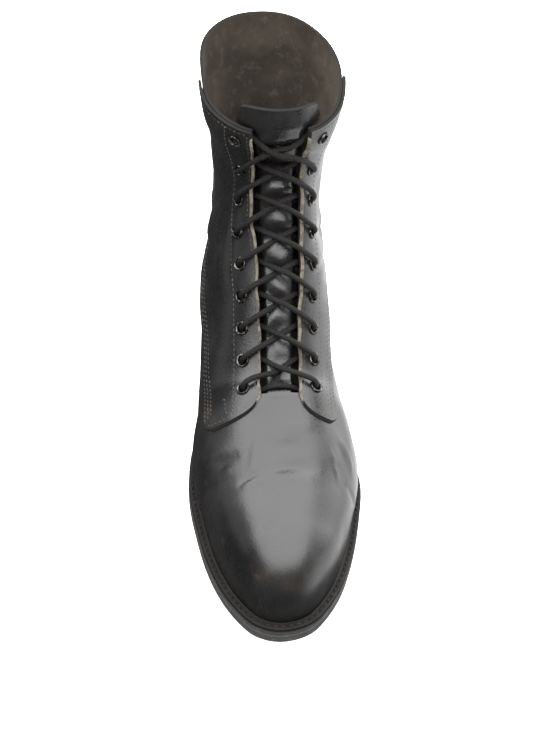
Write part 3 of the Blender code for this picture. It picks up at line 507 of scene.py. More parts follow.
# Creases and swells: from section and girth to section and girth, bow of the middle in sections,
# half-width and height in millimetres (a trough is negative)
VAMP_FOLDS = (
    (5.12, -0.275, 5.44, -0.095, 0.03, 1.1, -1.15), (4.98, -0.270, 5.22, -0.100, 0.03, 2.6, 0.55),
    (5.42, -0.070, 5.40, 0.210, 0.06, 2.6, -0.95), (5.16, -0.140, 5.08, 0.210, 0.06, 4.0, 0.60),
    (5.98, -0.050, 6.08, 0.150, -0.06, 5.0, -1.00), (6.02, 0.000, 6.02, 0.100, 0.00, 2.4, -0.35),
    (6.32, -0.110, 5.40, -0.185, 0.05, 2.6, 0.75), (6.46, 0.020, 6.50, 0.200, 0.00, 3.2, 0.45),
    (5.70, -0.030, 5.68, 0.190, 0.04, 1.8, 0.35), (5.85, -0.240, 5.60, -0.420, 0.06, 3.6, -0.70),
    (5.60, -0.300, 5.25, -0.480, 0.00, 3.0, 0.45), (6.10, -0.300, 6.00, -0.500, 0.00, 2.8, 0.40),
    (5.30, -0.440, 5.05, -0.700, 0.00, 2.8, -0.65), (6.00, -0.560, 5.60, -0.760, 0.00, 3.0, -0.50),
    (6.36, 0.385, 5.48, 0.535, 0.04, 1.9, 0.70), (6.12, 0.360, 5.30, 0.500, 0.04, 1.7, -0.60),
    (5.98, 0.305, 4.95, 0.410, 0.06, 2.0, 0.55), (5.70, 0.330, 5.00, 0.450, 0.05, 1.6, -0.45),
    (5.02, 0.470, 4.50, 0.700, 0.04, 2.2, -0.80), (4.90, 0.560, 4.45, 0.760, 0.04, 2.4, 0.45),
    (5.90, 0.620, 5.30, 0.780, 0.05, 3.0, -0.60), (4.30, -0.300, 4.10, 0.260, 0.10, 9.0, 0.30),
    (7.41, -0.095, 7.41, 0.105, 0.00, 0.9, 0.40),
)
# Rubbed spots: section, girth, radius in millimetres and strength
RUBS = (
    (7.30, -0.435, 4.5, 1.0), (7.05, -0.380, 3.0, 0.6), (1.97, -0.206, 5.0, 0.5),
    (1.66, 0.027, 6.0, 0.5), (1.80, 0.180, 4.0, 0.4), (3.37, -0.538, 2.5, 0.6),
    (6.95, 0.345, 3.0, 0.5), (19.6, 0.110, 6.0, 0.5),
)
# Small pits and dents: section, girth, radius and depth in millimetres
MARKS = (
    (3.73, -0.136, 0.9, 0.45), (3.86, -0.120, 1.6, -0.15), (1.97, -0.206, 2.0, 0.12),
    (1.66, 0.027, 2.6, 0.12), (3.30, 0.420, 2.2, 0.15), (7.35, -0.425, 2.4, 0.30),
)
SHAFT_FOLDS = (
    (12.60, -0.160, 10.60, -0.225, 0.00, 2.3, -1.00),
    (12.80, -0.255, 10.80, -0.290, 0.05, 4.5, 0.90),
    (11.40, -0.300, 13.10, -0.640, 0.25, 3.4, -1.10),
    (10.20, -0.300, 12.10, -0.620, 0.25, 3.0, -0.70),
    (12.10, -0.340, 13.70, -0.600, 0.20, 5.5, 0.50), (11.50, 0.160, 13.00, 0.560, 0.30, 3.4, -1.10),
    (10.50, 0.180, 12.00, 0.560, 0.25, 2.8, -0.80), (12.20, 0.220, 13.60, 0.560, 0.20, 5.5, 0.50),
    (10.10, 0.150, 10.60, 0.330, 0.10, 1.8, -0.60), (9.40, 0.150, 9.70, 0.300, 0.05, 1.6, -0.40),
    (15.40, 0.930, 14.70, 0.520, 0.10, 3.8, -1.00),
    (15.20, -0.930, 14.60, -0.500, 0.10, 3.8, -1.00), (16.10, 0.900, 15.60, 0.500, 0.15, 5.0, 0.70),
    (16.00, -0.900, 15.50, -0.500, 0.15, 5.0, 0.70), (17.40, 0.300, 17.10, 0.800, 0.20, 6.0, -0.80),
    (18.20, -0.330, 17.80, -0.800, 0.20, 6.0, -0.80),
)
# Bulges of the tongue between the crossings: pair, share of the half gap sideways, height in mm and
# slant, in pitches over a half gap
TONGUE_BULGES = (
    (1, 0.05, 0.9, 0.10), (2, -0.30, 1.4, 0.35), (2, 0.45, 0.7, 0.30), (3, 0.15, 1.7, -0.40),
    (4, -0.15, 1.3, -0.25), (4, 0.50, 0.8, 0.35), (5, 0.25, 1.8, 0.05), (6, -0.25, 1.1, 0.40),
    (6, 0.35, 1.2, 0.30), (7, 0.10, 1.5, -0.15), (8, -0.20, 1.2, 0.25),
)


def edge_wave(t, side):
    """Slack of the throat's edge between the eyelets."""
    turn = np.interp(t, EYELETS, np.arange(len(EYELETS))) * 2 * math.pi
    between_pairs = 0.00035 * np.sin(turn + (0.4, 2.1)[side])
    over_the_throat = 0.00040 * np.sin(0.37 * turn + (1.0, 0.2)[side])
    return between_pairs + over_the_throat


def edge_reach(t, side):
    """Half the throat's gap in the finished boot."""
    return half_gap(t, side) + edge_wave(t, side) * smooth((np.asarray(t) - THROAT_SECTION) * 3)


# Points along a fold, and how many of its half-widths it reaches
FOLD_POINTS = 33
FOLD_REACH = 3
# Unevenness of the upper: waves added up, their size and height, the seed of their draws, the height
# over the floor where it is calm and how far over that it grows to its full height
RIPPLE_WAVES = 7
UPPER_RIPPLE = (0.030, 0.0008, 4)
CALM_HEIGHT = 0.02
CALM_REACH = 0.03


def near_share(apart, radius):
    """How much a soft round spot counts at a distance; its radius is in millimetres."""
    return np.exp(-(apart / (radius * MILLIMETRE)) ** 2)


def fold_height(spots, folds):
    """Height of the folds at points of the surface, in metres."""
    flat = spots.reshape(-1, 3)
    total = np.zeros(len(flat))
    for t0, g0, t1, g1, bow, width, height in folds:
        share = np.linspace(0, 1, FOLD_POINTS)
        t = t0 + (t1 - t0) * share + bow * np.sin(math.pi * share)
        path = LAST.at(t, g0 + (g1 - g0) * share)
        reach = FOLD_REACH * width * MILLIMETRE
        low, high = path.min(axis=0) - reach, path.max(axis=0) + reach
        near = np.nonzero(((flat > low) & (flat < high)).all(axis=1))[0]
        if not len(near):
            continue
        apart = np.linalg.norm(flat[near, None] - path[None], axis=2)
        nearest = apart.argmin(axis=1)
        taper = np.sin(math.pi * np.clip(share[nearest], 0.02, 0.98)) ** 0.6
        closest = apart[np.arange(len(near)), nearest]
        total[near] += height * MILLIMETRE * taper * near_share(closest, width)
    return total.reshape(spots.shape[:-1])


def ripple(spots, size, height, seed):
    """Slow unevenness of worn leather, in metres."""
    waves = np.random.RandomState(seed)
    total = np.zeros(spots.shape[:-1])
    for _ in range(RIPPLE_WAVES):
        way = waves.normal(size=3)
        way *= 2 * math.pi / (size * waves.uniform(0.7, 1.5) * np.linalg.norm(way))
        total += np.sin(spots @ way + waves.uniform(0, 6.3))
    return total * height / RIPPLE_WAVES


def leather_at(t, g, offset=0.0):
    """Point of the worn upper: the last's surface with its folds, and how deep the fold is there."""
    base = LAST.at(t, g)
    folds = fold_height(base, VAMP_FOLDS + SHAFT_FOLDS)
    grown = smooth(np.abs(base[..., 2] - CALM_HEIGHT) / CALM_REACH)
    swell = folds + ripple(base, *UPPER_RIPPLE) * grown
    for mark_t, mark_g, radius, depth in MARKS:
        apart = np.linalg.norm(base - LAST.at(mark_t, mark_g), axis=-1)
        swell = swell - depth * MILLIMETRE * near_share(apart, radius)
    return LAST.at(t, g, swell + offset), folds


def rubbed(spots):
    """How far the leather is rubbed through at points of the surface."""
    total = np.zeros(spots.shape[:-1])
    for t, g, radius, strength in RUBS:
        apart = np.linalg.norm(spots - LAST.at(t, g), axis=-1)
        total = np.maximum(total, strength * near_share(apart, radius))
    return total


# Meshes
def select_only(obj):
    bpy.ops.object.select_all(action="DESELECT")
    obj.select_set(True)
    bpy.context.view_layer.objects.active = obj


def mesh_object(name, points, faces, materials=(), attributes=None):
    mesh = bpy.data.meshes.new(name)
    mesh.from_pydata(np.asarray(points, float).tolist(), [], [tuple(map(int, face)) for face in faces])
    for finish in materials:
        mesh.materials.append(finish)
    for label, values in (attributes or {}).items():
        layer = mesh.attributes.new(label, "FLOAT", "POINT")
        layer.data.foreach_set("value", np.asarray(values, np.float32).ravel())
    obj = bpy.data.objects.new(name, mesh)
    bpy.context.scene.collection.objects.link(obj)
    mesh.shade_smooth()
    return obj


def apply_modifiers(obj):
    select_only(obj)
    for modifier in list(obj.modifiers):
        bpy.ops.object.modifier_apply(modifier=modifier.name)


def finish_piece(obj, slot, *nodes, angle=50):
    select_only(obj)
    bpy.ops.object.shade_smooth_by_angle(angle=math.radians(angle))
    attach(obj, "root")
    if nodes:
        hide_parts(*nodes)


def face_out(obj):
    """Turns the faces of a closed mesh outward."""
    shape = bmesh.new()
    shape.from_mesh(obj.data)
    bmesh.ops.recalc_face_normals(shape, faces=shape.faces)
    shape.to_mesh(obj.data)
    shape.free()


def tube_faces(rings, around, start=0):
    """Faces between the rings of points that follow each other."""
    return [
        (low + k, low + (k + 1) % around, low + around + (k + 1) % around, low + around + k)
        for low in range(start, start + (rings - 1) * around, around)
        for k in range(around)
    ]


def sheet_faces(rows, count):
    """Faces of a sheet of rows of points."""
    return [
        [i * count + j, (i + 1) * count + j, (i + 1) * count + j + 1, i * count + j + 1]
        for i in range(rows - 1)
        for j in range(count - 1)
    ]


def outward_faces(points, faces, away):
    """Faces turned so that most of them look the given way at their first corner."""
    corner = np.array([[points[face[k]] for k in (0, 1, 2)] for face in faces[::7]])
    normal = np.cross(corner[:, 1] - corner[:, 0], corner[:, 2] - corner[:, 0])
    facing = (normal * away[[face[0] for face in faces[::7]]]).sum(axis=1)
    return [face[::-1] for face in faces] if (facing < 0).sum() > (facing > 0).sum() else faces


def punch(points, holes, radius):
    """Opens round holes in a sheet: which points fall out, after the nearest ones move to the rim."""
    core, around = radius * HOLE_CORE, radius * HOLE_AROUND
    gone = np.zeros(len(points), bool)
    for hole in holes:
        away = points - hole
        far = np.linalg.norm(away, axis=1)
        gone |= far < core
        edge = (far >= core) & (far < around)
        points[edge] = hole + away[edge] * (radius / far[edge])[:, None]
    return gone


def eyelet_spot(number, side):
    """Section and girth of an eyelet's middle."""
    t = float(EYELETS[number])
    reach = float(half_gap(t, side) + EYELET_FROM_EDGE)
    return t, SIGNS[side] * reach / float(LAST.girth_at(t, side))


def eyelet_frame(number, side, offset):
    """Middle of an eyelet at a height over the last, and the way out of the leather there."""
    t, g = eyelet_spot(number, side)
    low = leather_at(np.array(t), np.array(g), offset)[0]
    high = leather_at(np.array(t), np.array(g), offset + 0.001)[0]
    return low, (high - low) / np.linalg.norm(high - low)


# Upper, quarters and tongue
def upper_columns(t, side):
    """Girths of one half at a section, from the sole or the back to the top line."""
    under = UPPER_BACK * smooth((t - THROAT_SECTION) * 4)
    edge = float((edge_reach(t, side) + under) / LAST.girth_at(t, side))
    stitched = float(seam(t, side))
    low = np.linspace(1, stitched, LOW_COLUMNS)
    quarter = np.linspace(stitched, edge, QUARTER_COLUMNS)
    middle = np.linspace(edge, 0, THROAT_COLUMNS)
    return SIGNS[side] * np.concatenate([low, quarter[1:], middle[1:]])


def wall_sheet(name, outer, inner, faces, finishes, attributes):
    """Closed wall between two layers of the same faces, with a finish for outside, inside and edge."""
    used = np.unique(np.concatenate([np.array(face) for face in faces]))
    place = np.full(len(outer), -1)
    place[used] = np.arange(len(used))
    faces = [[int(place[corner]) for corner in face] for face in faces]
    count = len(used)
    edges = {(a, b) for face in faces for a, b in zip(face, face[1:] + face[:1])}
    rims = [(b, a, a + count, b + count) for a, b in sorted(edges) if (b, a) not in edges]
    inside = [[corner + count for corner in face[::-1]] for face in faces]
    points = np.vstack([outer[used], inner[used]])
    values = {label: np.tile(np.asarray(value).ravel()[used], 2) for label, value in attributes.items()}
    obj = mesh_object(name, points, faces + inside + rims, finishes, values)
    finish = np.repeat([0, 1, 2], [len(faces), len(inside), len(rims)]).astype(np.int32)
    obj.data.polygons.foreach_set("material_index", finish)
    return obj


def build_upper(finishes):
    """Vamp and shaft in one shell, open at the throat and the collar, with holes for the lace."""
    vamp = LAST.evenly_spaced(0, THROAT_SECTION, VAMP_ROWS)
    instep = LAST.evenly_spaced(THROAT_SECTION, HEEL_SECTION, INSTEP_ROWS)
    shaft = LAST.evenly_spaced(HEEL_SECTION, LAST_SECTION, SHAFT_ROWS)
    sections = np.concatenate([vamp, instep[1:], shaft[1:]])
    throat_row, heel_row = len(vamp) - 1, len(vamp) + len(instep) - 2
    girths = np.array([
        np.concatenate([upper_columns(t, 0), upper_columns(t, 1)[::-1][1:]]) for t in sections])
    rows, width = girths.shape
    t = np.repeat(sections[:, None], width, axis=1)
    outer, folds = leather_at(t, girths)
    outer = outer.reshape(-1, 3)
    inner = leather_at(t, girths, -LEATHER)[0].reshape(-1, 3)
    number = np.arange(rows * width).reshape(rows, width)
    number[heel_row:, -1] = number[heel_row:, 0]
    gone = punch_both(outer, inner, 0.0, -LEATHER, (0, 1))
    walls = LOW_COLUMNS + QUARTER_COLUMNS - 1
    faces = []
    for i in range(rows - 1):
        for j in range(width - 1):
            if i >= throat_row and walls - 1 <= j < width - walls:
                continue
            corners = (number[i, j], number[i + 1, j], number[i + 1, j + 1], number[i, j + 1])
            ring = list(dict.fromkeys(corners))
            if not gone[ring].any():
                faces.append(ring)
    faces = outward_faces(outer, faces, LAST.sample(LAST.normal, t, girths).reshape(-1, 3))
    edge = [*number[0], *number[1:heel_row, -1], number[heel_row, 0], *number[heel_row - 1:0:-1, 0]]
    start, count = len(outer), len(edge)
    drop = np.array((0.0, 0.0, WELT_BASE - EDGE_BASE))
    used = {(a, b) for face in faces for a, b in zip(face, face[1:] + face[:1])}
    for k in range(count):
        a, b = edge[k], edge[(k + 1) % count]
        low_a, low_b = start + k, start + (k + 1) % count
        faces.append([b, a, low_a, low_b] if (a, b) in used else [a, b, low_b, low_a])
    outer = np.vstack([outer, outer[edge] + drop])
    inner = np.vstack([inner, inner[edge] + drop])
    shade = np.concatenate([folds.ravel(), np.zeros(count)]) * MILLIMETRES
    bare = np.where(t < THROAT_SECTION + 0.2, 0.8, 0.35) * (t < LAST_SECTION - 0.3)
    bare = np.concatenate([bare.ravel(), np.zeros(count)])
    obj = wall_sheet("upper_leather", outer, inner, faces, finishes,
                     {"fold": shade, "bare": bare, "rub": rubbed(outer)})
    finish_piece(obj, "leather", "upper", angle=60)


def punch_both(outer, inner, high, low, sides):
    """Opens the lace holes in both layers of a sheet: which points fall out."""
    gone = None
    for layer, offset in ((outer, high), (inner, low)):
        holes = [eyelet_frame(k, side, offset)[0] for side in sides for k in range(EYELET_PAIRS)]
        punched = punch(layer, holes, HOLE_RADIUS)
        gone = punched if gone is None else gone
    return gone


def quarter_spot(share, along, side):
    """Section and girth on a quarter, by share from throat to side seam and along from foot to top."""
    low = table(QUARTER_EDGE, share)[0]
    t = low + (LAST_SECTION - low) * along
    edge = edge_reach(t, side) / LAST.girth_at(t, side)
    return t, SIGNS[side] * (edge + (seam(t, side) - edge) * share)


def build_quarter(side, finishes):
    """Panel with the eyelets, over the upper from the throat to the side seam."""
    word = WORDS[side]
    across_rows, up_rows = QUARTER_MESH
    heights = (0, 0.145, 0.30, 0.46, 0.63, 0.81, 1.0)
    run = np.interp(np.linspace(0, 1, up_rows), np.linspace(0, 1, len(heights)), heights)
    share, along = np.meshgrid(np.linspace(0, 1, across_rows), run, indexing="ij")
    t, g = quarter_spot(share, along, side)
    inner = leather_at(t, g, PANEL_GAP)[0].reshape(-1, 3)
    # The raw edges slope, so the outer layer stands back at the throat, the foot and the seam
    back = RAW_SLOPE / LAST.girth_at(t, side)
    at_throat, at_seam = np.clip(1 - share * 12, 0, 1), np.clip(1 - (1 - share) * 12, 0, 1)
    at_foot = np.clip(1 - along * 40, 0, 1)
    g_out = g + SIGNS[side] * back * (at_throat - 0.4 * at_seam)
    t_out = t + 0.06 * at_foot
    outer, folds = leather_at(t_out, g_out, QUARTER_TOP)
    outer = outer.reshape(-1, 3)
    gone = punch_both(outer, inner, QUARTER_TOP, PANEL_GAP, (side,))
    faces = [ring for ring in sheet_faces(*share.shape) if not gone[ring].any()]
    faces = outward_faces(outer, faces, LAST.sample(LAST.normal, t, g).reshape(-1, 3))
    bare = np.clip(1 - share * 6, 0, 1) * (1 - smooth((t - 19.2) / 0.5)) + 0.30 * at_foot
    obj = wall_sheet(f"quarter_panel_{word}", outer, inner, faces, finishes,
                     {"fold": folds * MILLIMETRES, "bare": bare, "rub": rubbed(outer)})
    finish_piece(obj, "leather", f"quarter_{word}", angle=50)


# The tongue under the last's surface: its depth behind the lace and at the collar, how far it dips
# at its sides and rolls at the collar, how far it reaches past the gap, and the sections that it
# stands over the collar
TONGUE_DEPTH = 0.0027
TONGUE_DIP = 0.0035
TOP_DEPTH = 0.0030
TOP_ROLL = 0.0022
TONGUE_PAST_GAP = 0.0145
TONGUE_OVER = 0.72
# Half-width and half-length of a bulge, in half gaps and pitches, and depth of the fold beside it
BULGE_WIDE = 0.60
BULGE_LONG = 0.27
TONGUE_FOLD = 0.0006


def tongue_depth(t, reach):
    """How far the tongue lies under the last's surface: it dips at its sides under the lace."""
    side = (np.asarray(reach) > 0).astype(int)
    gap = np.where(side == 0, half_gap(t, 0), half_gap(t, 1))
    dip = smooth((np.abs(reach) - gap + 0.0045) / 0.0055)
    depth = -TONGUE_DEPTH - TONGUE_DIP * dip
    for pair, share, height, slant in TONGUE_BULGES:
        pitch = EYELETS[pair] - EYELETS[pair - 1]
        middle = EYELETS[pair] + 0.12 * pitch
        aside = np.asarray(reach) / gap - share
        along = (np.asarray(t) - middle) / pitch - slant * aside
        bulge = np.exp(-(along / BULGE_LONG) ** 2 - (aside / BULGE_WIDE) ** 2)
        depth = depth + height * MILLIMETRE * bulge
        fold = (along + 0.40 + 0.08 * np.sin(5 * aside + pair)) / 0.055
        depth = depth - TONGUE_FOLD * np.exp(-fold**2 - (aside / 0.9) ** 2) * (1 - dip)
    return depth


def tongue_line(t, share, deeper):
    """Points across the tongue at a section; past the collar it stands up straight."""
    inside = min(t, LAST_SECTION)
    above = (t - LAST_SECTION) / TONGUE_OVER if t > LAST_SECTION else 0.0
    half = np.where(share < 0, half_gap(inside, 0), half_gap(inside, 1)) + TONGUE_PAST_GAP
    reach = share * half * (1 - 0.10 * float(smooth(above)))
    girth = np.where(reach < 0, LAST.girth_at(inside, 0), LAST.girth_at(inside, 1))
    depth = tongue_depth(inside, reach)
    rolled = -TOP_DEPTH - TOP_ROLL * share**2
    depth = depth + (rolled - depth) * float(smooth((inside - LAST_SECTION + 1.2) / 1.2))
    line = LAST.at(np.full(len(reach), inside), reach / girth, depth - deeper)
    crumple = ripple(line, 0.012, 0.0008, 9) + ripple(line, 0.005, 0.00030, 12)
    line = line + crumple[:, None] * np.array((0.0, -0.6, 0.4))
    line[:, 1] += 0.0012 * above
    line[:, 2] += 0.0124 * above - 0.004 * share**4 * above
    return line, depth


def build_tongue(finishes):
    """Soft leather tongue behind the lace, bulging between its crossings."""
    across_rows, up_rows, over_rows = TONGUE_MESH
    rows = np.concatenate([LAST.evenly_spaced(THROAT_SECTION - 0.45, LAST_SECTION, up_rows),
                           LAST_SECTION + np.linspace(0.06, TONGUE_OVER, over_rows)])
    share = np.linspace(-1, 1, across_rows)
    outer, depths = zip(*(tongue_line(t, share, 0.0) for t in rows))
    inner, _ = zip(*(tongue_line(t, share, TONGUE_THICK) for t in rows))
    outer, inner = np.array(outer).reshape(-1, 3), np.array(inner).reshape(-1, 3)
    faces = sheet_faces(len(rows), len(share))
    faces = outward_faces(outer, faces, np.tile(np.array((0.0, -1.0, 0.5)), (len(outer), 1)))
    fold = (np.array(depths).ravel() + TONGUE_DEPTH) * 700
    obj = wall_sheet("tongue_leather", outer, inner, faces, finishes,
                     {"fold": fold, "bare": np.full(len(outer), 0.25), "rub": np.zeros(len(outer))})
    finish_piece(obj, "leather", "tongue", angle=60)


# Eyelets and lace
def build_eyelet(number, side, finish):
    """Rolled ring with its barrel, modelled flat and then set into the quarter.

    The torus's lower half is stretched to a barrel inside and flattened outside.
    """
    word = WORDS[side]
    bpy.ops.object.select_all(action="DESELECT")
    bpy.ops.mesh.primitive_torus_add(major_segments=36, minor_segments=12,
                                     major_radius=EYELET_RADIUS, minor_radius=EYELET_TUBE)
    obj = bpy.context.active_object
    obj.name = f"eyelet_ring_{word}_{number + 1}"
    for corner in obj.data.vertices:
        radius = math.hypot(corner.co.x, corner.co.y)
        if corner.co.z < 0:
            corner.co.z *= 3.2 if radius < EYELET_RADIUS - 0.00015 else 0.35
    obj.data.materials.append(finish)
    spot, out = eyelet_frame(number, side, QUARTER_TOP)
    turn = Vector(out).to_track_quat("Z", "Y").to_matrix().to_4x4()
    obj.data.transform(Matrix.Translation(Vector(spot + out * 0.0002)) @ turn)
    obj.data.shade_smooth()
    finish_piece(obj, "metal", f"eyelet_{word}_{number + 1}", angle=80)


# How far the lace's middle runs over the quarter, and under it where it passes a hole
LACE_OVER = 0.0024
LACE_UNDER = 0.0042
# Points along the lace and around it, how flat it is and the length of one repeat of its weave
LACE_STEP = 0.0011
LACE_AROUND = 14
LACE_FLAT = 0.92
WEAVE_LENGTH = 0.010


def strand_spots(pair, side):
    """Lace from a hole over its quarter's edge, across the tongue and under the other edge."""
    low, high = float(EYELETS[pair]), float(EYELETS[pair + 1])
    here, there = float(edge_reach(low, side)), float(edge_reach(high, 1 - side))
    hole = float(half_gap(low, side)) + EYELET_FROM_EDGE
    end = float(half_gap(high, 1 - side)) + EYELET_FROM_EDGE
    over = QUARTER_TOP + LACE_OVER
    if side == 0:
        middle = ((-0.62, 0.0030), (-0.28, 0.0009), (0.0, -0.0003), (0.38, -0.0008), (0.78, -0.0022))
    else:
        middle = ((-0.62, 0.0047), (-0.28, 0.0040), (0.0, 0.0033), (0.38, 0.0014), (0.78, -0.0016))
    path = [(-hole, -LACE_UNDER), (-hole + 0.0002, 0.0004), (-hole + 0.0008, over - 0.0006),
            (-hole + 0.0036, over + 0.0011), (-here - 0.0015, over + 0.0003)]
    path += [(share * (here if share < 0 else there), height) for share, height in middle]
    path += [(there + 0.0022, -0.0041), (end - 0.0035, -0.0043)]
    spots = []
    for reach, height in path:
        climb = np.clip((reach + hole) / (hole + there), 0, 1)
        t = low + (high - low) * climb
        spots.append(lace_point(t, (1, -1)[side] * reach, height))
    return spots


def lace_point(t, reach, height):
    """Point over the worn leather, a reach across the throat from the top line, inner side negative."""
    side = int(reach > 0)
    return leather_at(np.array(t), np.array(reach / float(LAST.girth_at(t, side))), height)[0]


def lace_path():
    """One lace from a top eyelet down its crossings, through the bar and up to the other one."""
    halves = []
    for start in (0, 1):
        spots = []
        side = start
        for pair in range(EYELET_PAIRS - 1):
            spots += strand_spots(pair, side)
            side = 1 - side
        top = float(EYELETS[-1])
        hole = (float(half_gap(top, side)) + EYELET_FROM_EDGE) * SIGNS[side]
        spots += [lace_point(top, hole, height) for height in (-0.0040, 0.0, QUARTER_TOP + 0.0008)]
        halves.append(spots)
    first = float(EYELETS[0])
    left, right = float(half_gap(first, 0)), float(half_gap(first, 1))
    bar = [lace_point(first, reach, height) for reach, height in (
        (-left - 0.006, -LACE_UNDER), (-left, -0.0036), (-0.5 * left, -0.0012), (0.0, -0.0006),
        (0.5 * right, -0.0012), (right, -0.0036), (right + 0.006, -LACE_UNDER))]
    return np.array(halves[0][::-1] + bar + halves[1])


def smooth_path(points, step):
    """Evenly spaced points on a smooth curve through the given ones."""
    padded = np.vstack([2 * points[0] - points[1], points, 2 * points[-1] - points[-2]])
    share = np.linspace(0, 1, 10, endpoint=False)[:, None]
    line = []
    for a, b, c, d in zip(padded, padded[1:], padded[2:], padded[3:]):
        line.append(span(a, b, c, d, share))
    line = np.vstack(line + [points[-1:]])
    for _ in range(3):
        line[1:-1] = (line[:-2] + 2 * line[1:-1] + line[2:]) / 4
    run = run_of(line)
    spots = np.linspace(0, run[-1], int(run[-1] / step) + 1)
    return along_run(line, run, spots), spots


def build_lace(radius, finish):
    """The lace in one piece, with its weave's place in a UV layer."""
    path, run = smooth_path(lace_path(), LACE_STEP)
    ahead = np.gradient(path, axis=0)
    ahead /= np.linalg.norm(ahead, axis=1)[:, None]
    side = np.cross(ahead[0], (0.3, 0.2, 0.9))
    frames = []
    for way in ahead:
        side = side - way * (side @ way)
        side /= np.linalg.norm(side)
        frames.append((side.copy(), np.cross(way, side)))
    around = LACE_AROUND
    turn = np.linspace(0, 2 * math.pi, around, endpoint=False)
    cap = np.minimum(run, run[-1] - run)
    width = radius * np.sqrt(np.clip(1 - (1 - np.clip(cap / radius, 0, 1)) ** 2, 0.04, 1))
    points = np.concatenate([
        spot + wide * (np.cos(turn)[:, None] * across_way + LACE_FLAT * np.sin(turn)[:, None] * up_way)
        for spot, wide, (across_way, up_way) in zip(path, width, frames)])
    count = len(path)
    faces = tube_faces(count, around)
    faces += [tuple(range(around))[::-1], tuple((count - 1) * around + k for k in range(around))]
    obj = mesh_object("lace", points, faces, [finish])
    layer = obj.data.uv_layers.new(name="weave")
    for face in obj.data.polygons:
        for loop in face.loop_indices:
            i, k = divmod(obj.data.loops[loop].vertex_index, around)
            closing = face.index < (count - 1) * around and face.index % around == around - 1 and k == 0
            layer.data[loop].uv = (run[i] / WEAVE_LENGTH, (1.0 if closing else k / around))
    face_out(obj)
    crossings = [f"lace_crossing_{k}" for k in range(1, EYELET_PAIRS)]
    finish_piece(obj, "lace", "lace_bar", *crossings, angle=80)


# Sole
def plate(name, levels, finish, stations=151):
    """Closed plate whose edge runs through levels, each an inset, a base line and a lift over it."""
    rings = []
    for inset, base, lift in levels:
        ring = rim(inset_outline(OUTLINE, np.broadcast_to(inset, len(OUTLINE))), stations)
        rings.append(np.column_stack([ring[:, 0], world_y(ring[:, 1]), base(ring[:, 1]) + lift]))
    around = len(rings[0])
    faces = tube_faces(len(rings), around)
    for start in (0, (len(rings) - 1) * around):
        for i in range(stations - 1):
            strip = (i, i + 1, (around - i - 1) % around, (around - i) % around)
            faces.append(tuple(start + corner for corner in dict.fromkeys(strip)))
    obj = mesh_object(name, np.vstack(rings), faces, [finish])
    face_out(obj)
    return obj


def cut(obj, cutter):
    modifier = obj.modifiers.new("cut", "BOOLEAN")
    modifier.operation = "DIFFERENCE"
    modifier.solver = "EXACT"
    modifier.object = cutter
    apply_modifiers(obj)
    bpy.data.objects.remove(cutter)


def tread_grooves(places, base, finish):
    """Chevron prisms across the tread, each with its point toward the toe."""
    inner, outer = sides_of(OUTLINE)
    points, faces = [], []
    for share in places:
        middle = share * LENGTH
        left = np.interp(middle, *inner) + GROOVE_BORDER
        right = np.interp(middle, *outer) - GROOVE_BORDER
        start = len(points)
        for lift in (-GROOVE_WIDTH, GROOVE_DEPTH):
            for x, step in ((left, 0), ((left + right) / 2, 1), (right, 0)):
                for half in (-0.5, 0.5):
                    place = middle + step * GROOVE_POINT + half * GROOVE_WIDTH
                    points.append((x, world_y(place), float(base(np.array(place))) + lift))
        low = [start + k for k in (0, 2, 4, 5, 3, 1)]
        high = [k + 6 for k in low]
        for ends in (low, high):
            faces += [(ends[0], ends[1], ends[4], ends[5]), (ends[1], ends[2], ends[3], ends[4])]
        faces += [(low[k], low[(k + 1) % 6], high[(k + 1) % 6], high[k]) for k in range(6)]
    obj = mesh_object("tread_cutter", points, faces, [finish])
    face_out(obj)
    return obj


def floor_line(place):
    return place * 0.0


# Edge of outsole and midsole: inset and lift over the sole's underside, in millimetres
OUTSOLE_EDGE = ((1.2, 0.0), (0.35, 0.25), (0.0, 1.2), (0.0, 2.6), (0.25, 2.8), (0.25, 3.2),
                (0.0, 3.4), (0.0, 5.6), (0.45, 6.1), (0.7, 6.5))
MIDSOLE_LEVELS = ((1.0, 6.8), (0.5, 7.1), (0.45, 8.7), (0.6, 9.3))
# Heel: lower and upper levels of its edge over the floor, and the seams between its lifts
HEEL_LOW = ((2.4, 0.0), (1.5, 0.3), (1.2, 1.2), (1.1, 5.8), (1.45, 6.1), (1.45, 6.4), (1.05, 6.7))
HEEL_HIGH = ((0.05, 25.2), (0.25, 25.7))
HEEL_LIFTS = (12.6, 19.2)


def stepped_plate(name, edge, base, finish):
    return plate(name, [(inset * MILLIMETRE, base, lift * MILLIMETRE) for inset, lift in edge], finish)


def build_outsole(finish):
    obj = stepped_plate("outsole_rubber", OUTSOLE_EDGE, bottom_line, finish)
    cut(obj, tread_grooves(FORE_GROOVES, bottom_line, finish))
    finish_piece(obj, "rubber", "outsole", angle=35)


def build_midsole(finish):
    obj = stepped_plate("midsole_layer", MIDSOLE_LEVELS, bottom_line, finish)
    finish_piece(obj, "rubber", "midsole", angle=35)


def build_heel(finish):
    """Heel of a rubber top piece and three lifts, cut straight at the breast."""
    edge = list(HEEL_LOW)
    for lift in HEEL_LIFTS:
        taper = 1.1 * (1 - lift / 26)
        edge += [(taper, lift - 0.25), (taper + 0.25, lift - 0.05),
                 (taper + 0.25, lift + 0.1), (taper, lift + 0.3)]
    obj = stepped_plate("heel_block", [*edge, *HEEL_HIGH], floor_line, finish)
    bpy.ops.object.select_all(action="DESELECT")
    bpy.ops.mesh.primitive_cube_add(size=1)
    breast = bpy.context.active_object
    breast.scale = (2 * BALL_WIDTH, LENGTH, 4 * HEEL_HEIGHT)
    breast.location = (0, world_y(HEEL_LENGTH + LENGTH / 2), 0)
    cut(obj, breast)
    cut(obj, tread_grooves(HEEL_GROOVES, floor_line, finish))
    finish_piece(obj, "rubber", "heel", angle=35)


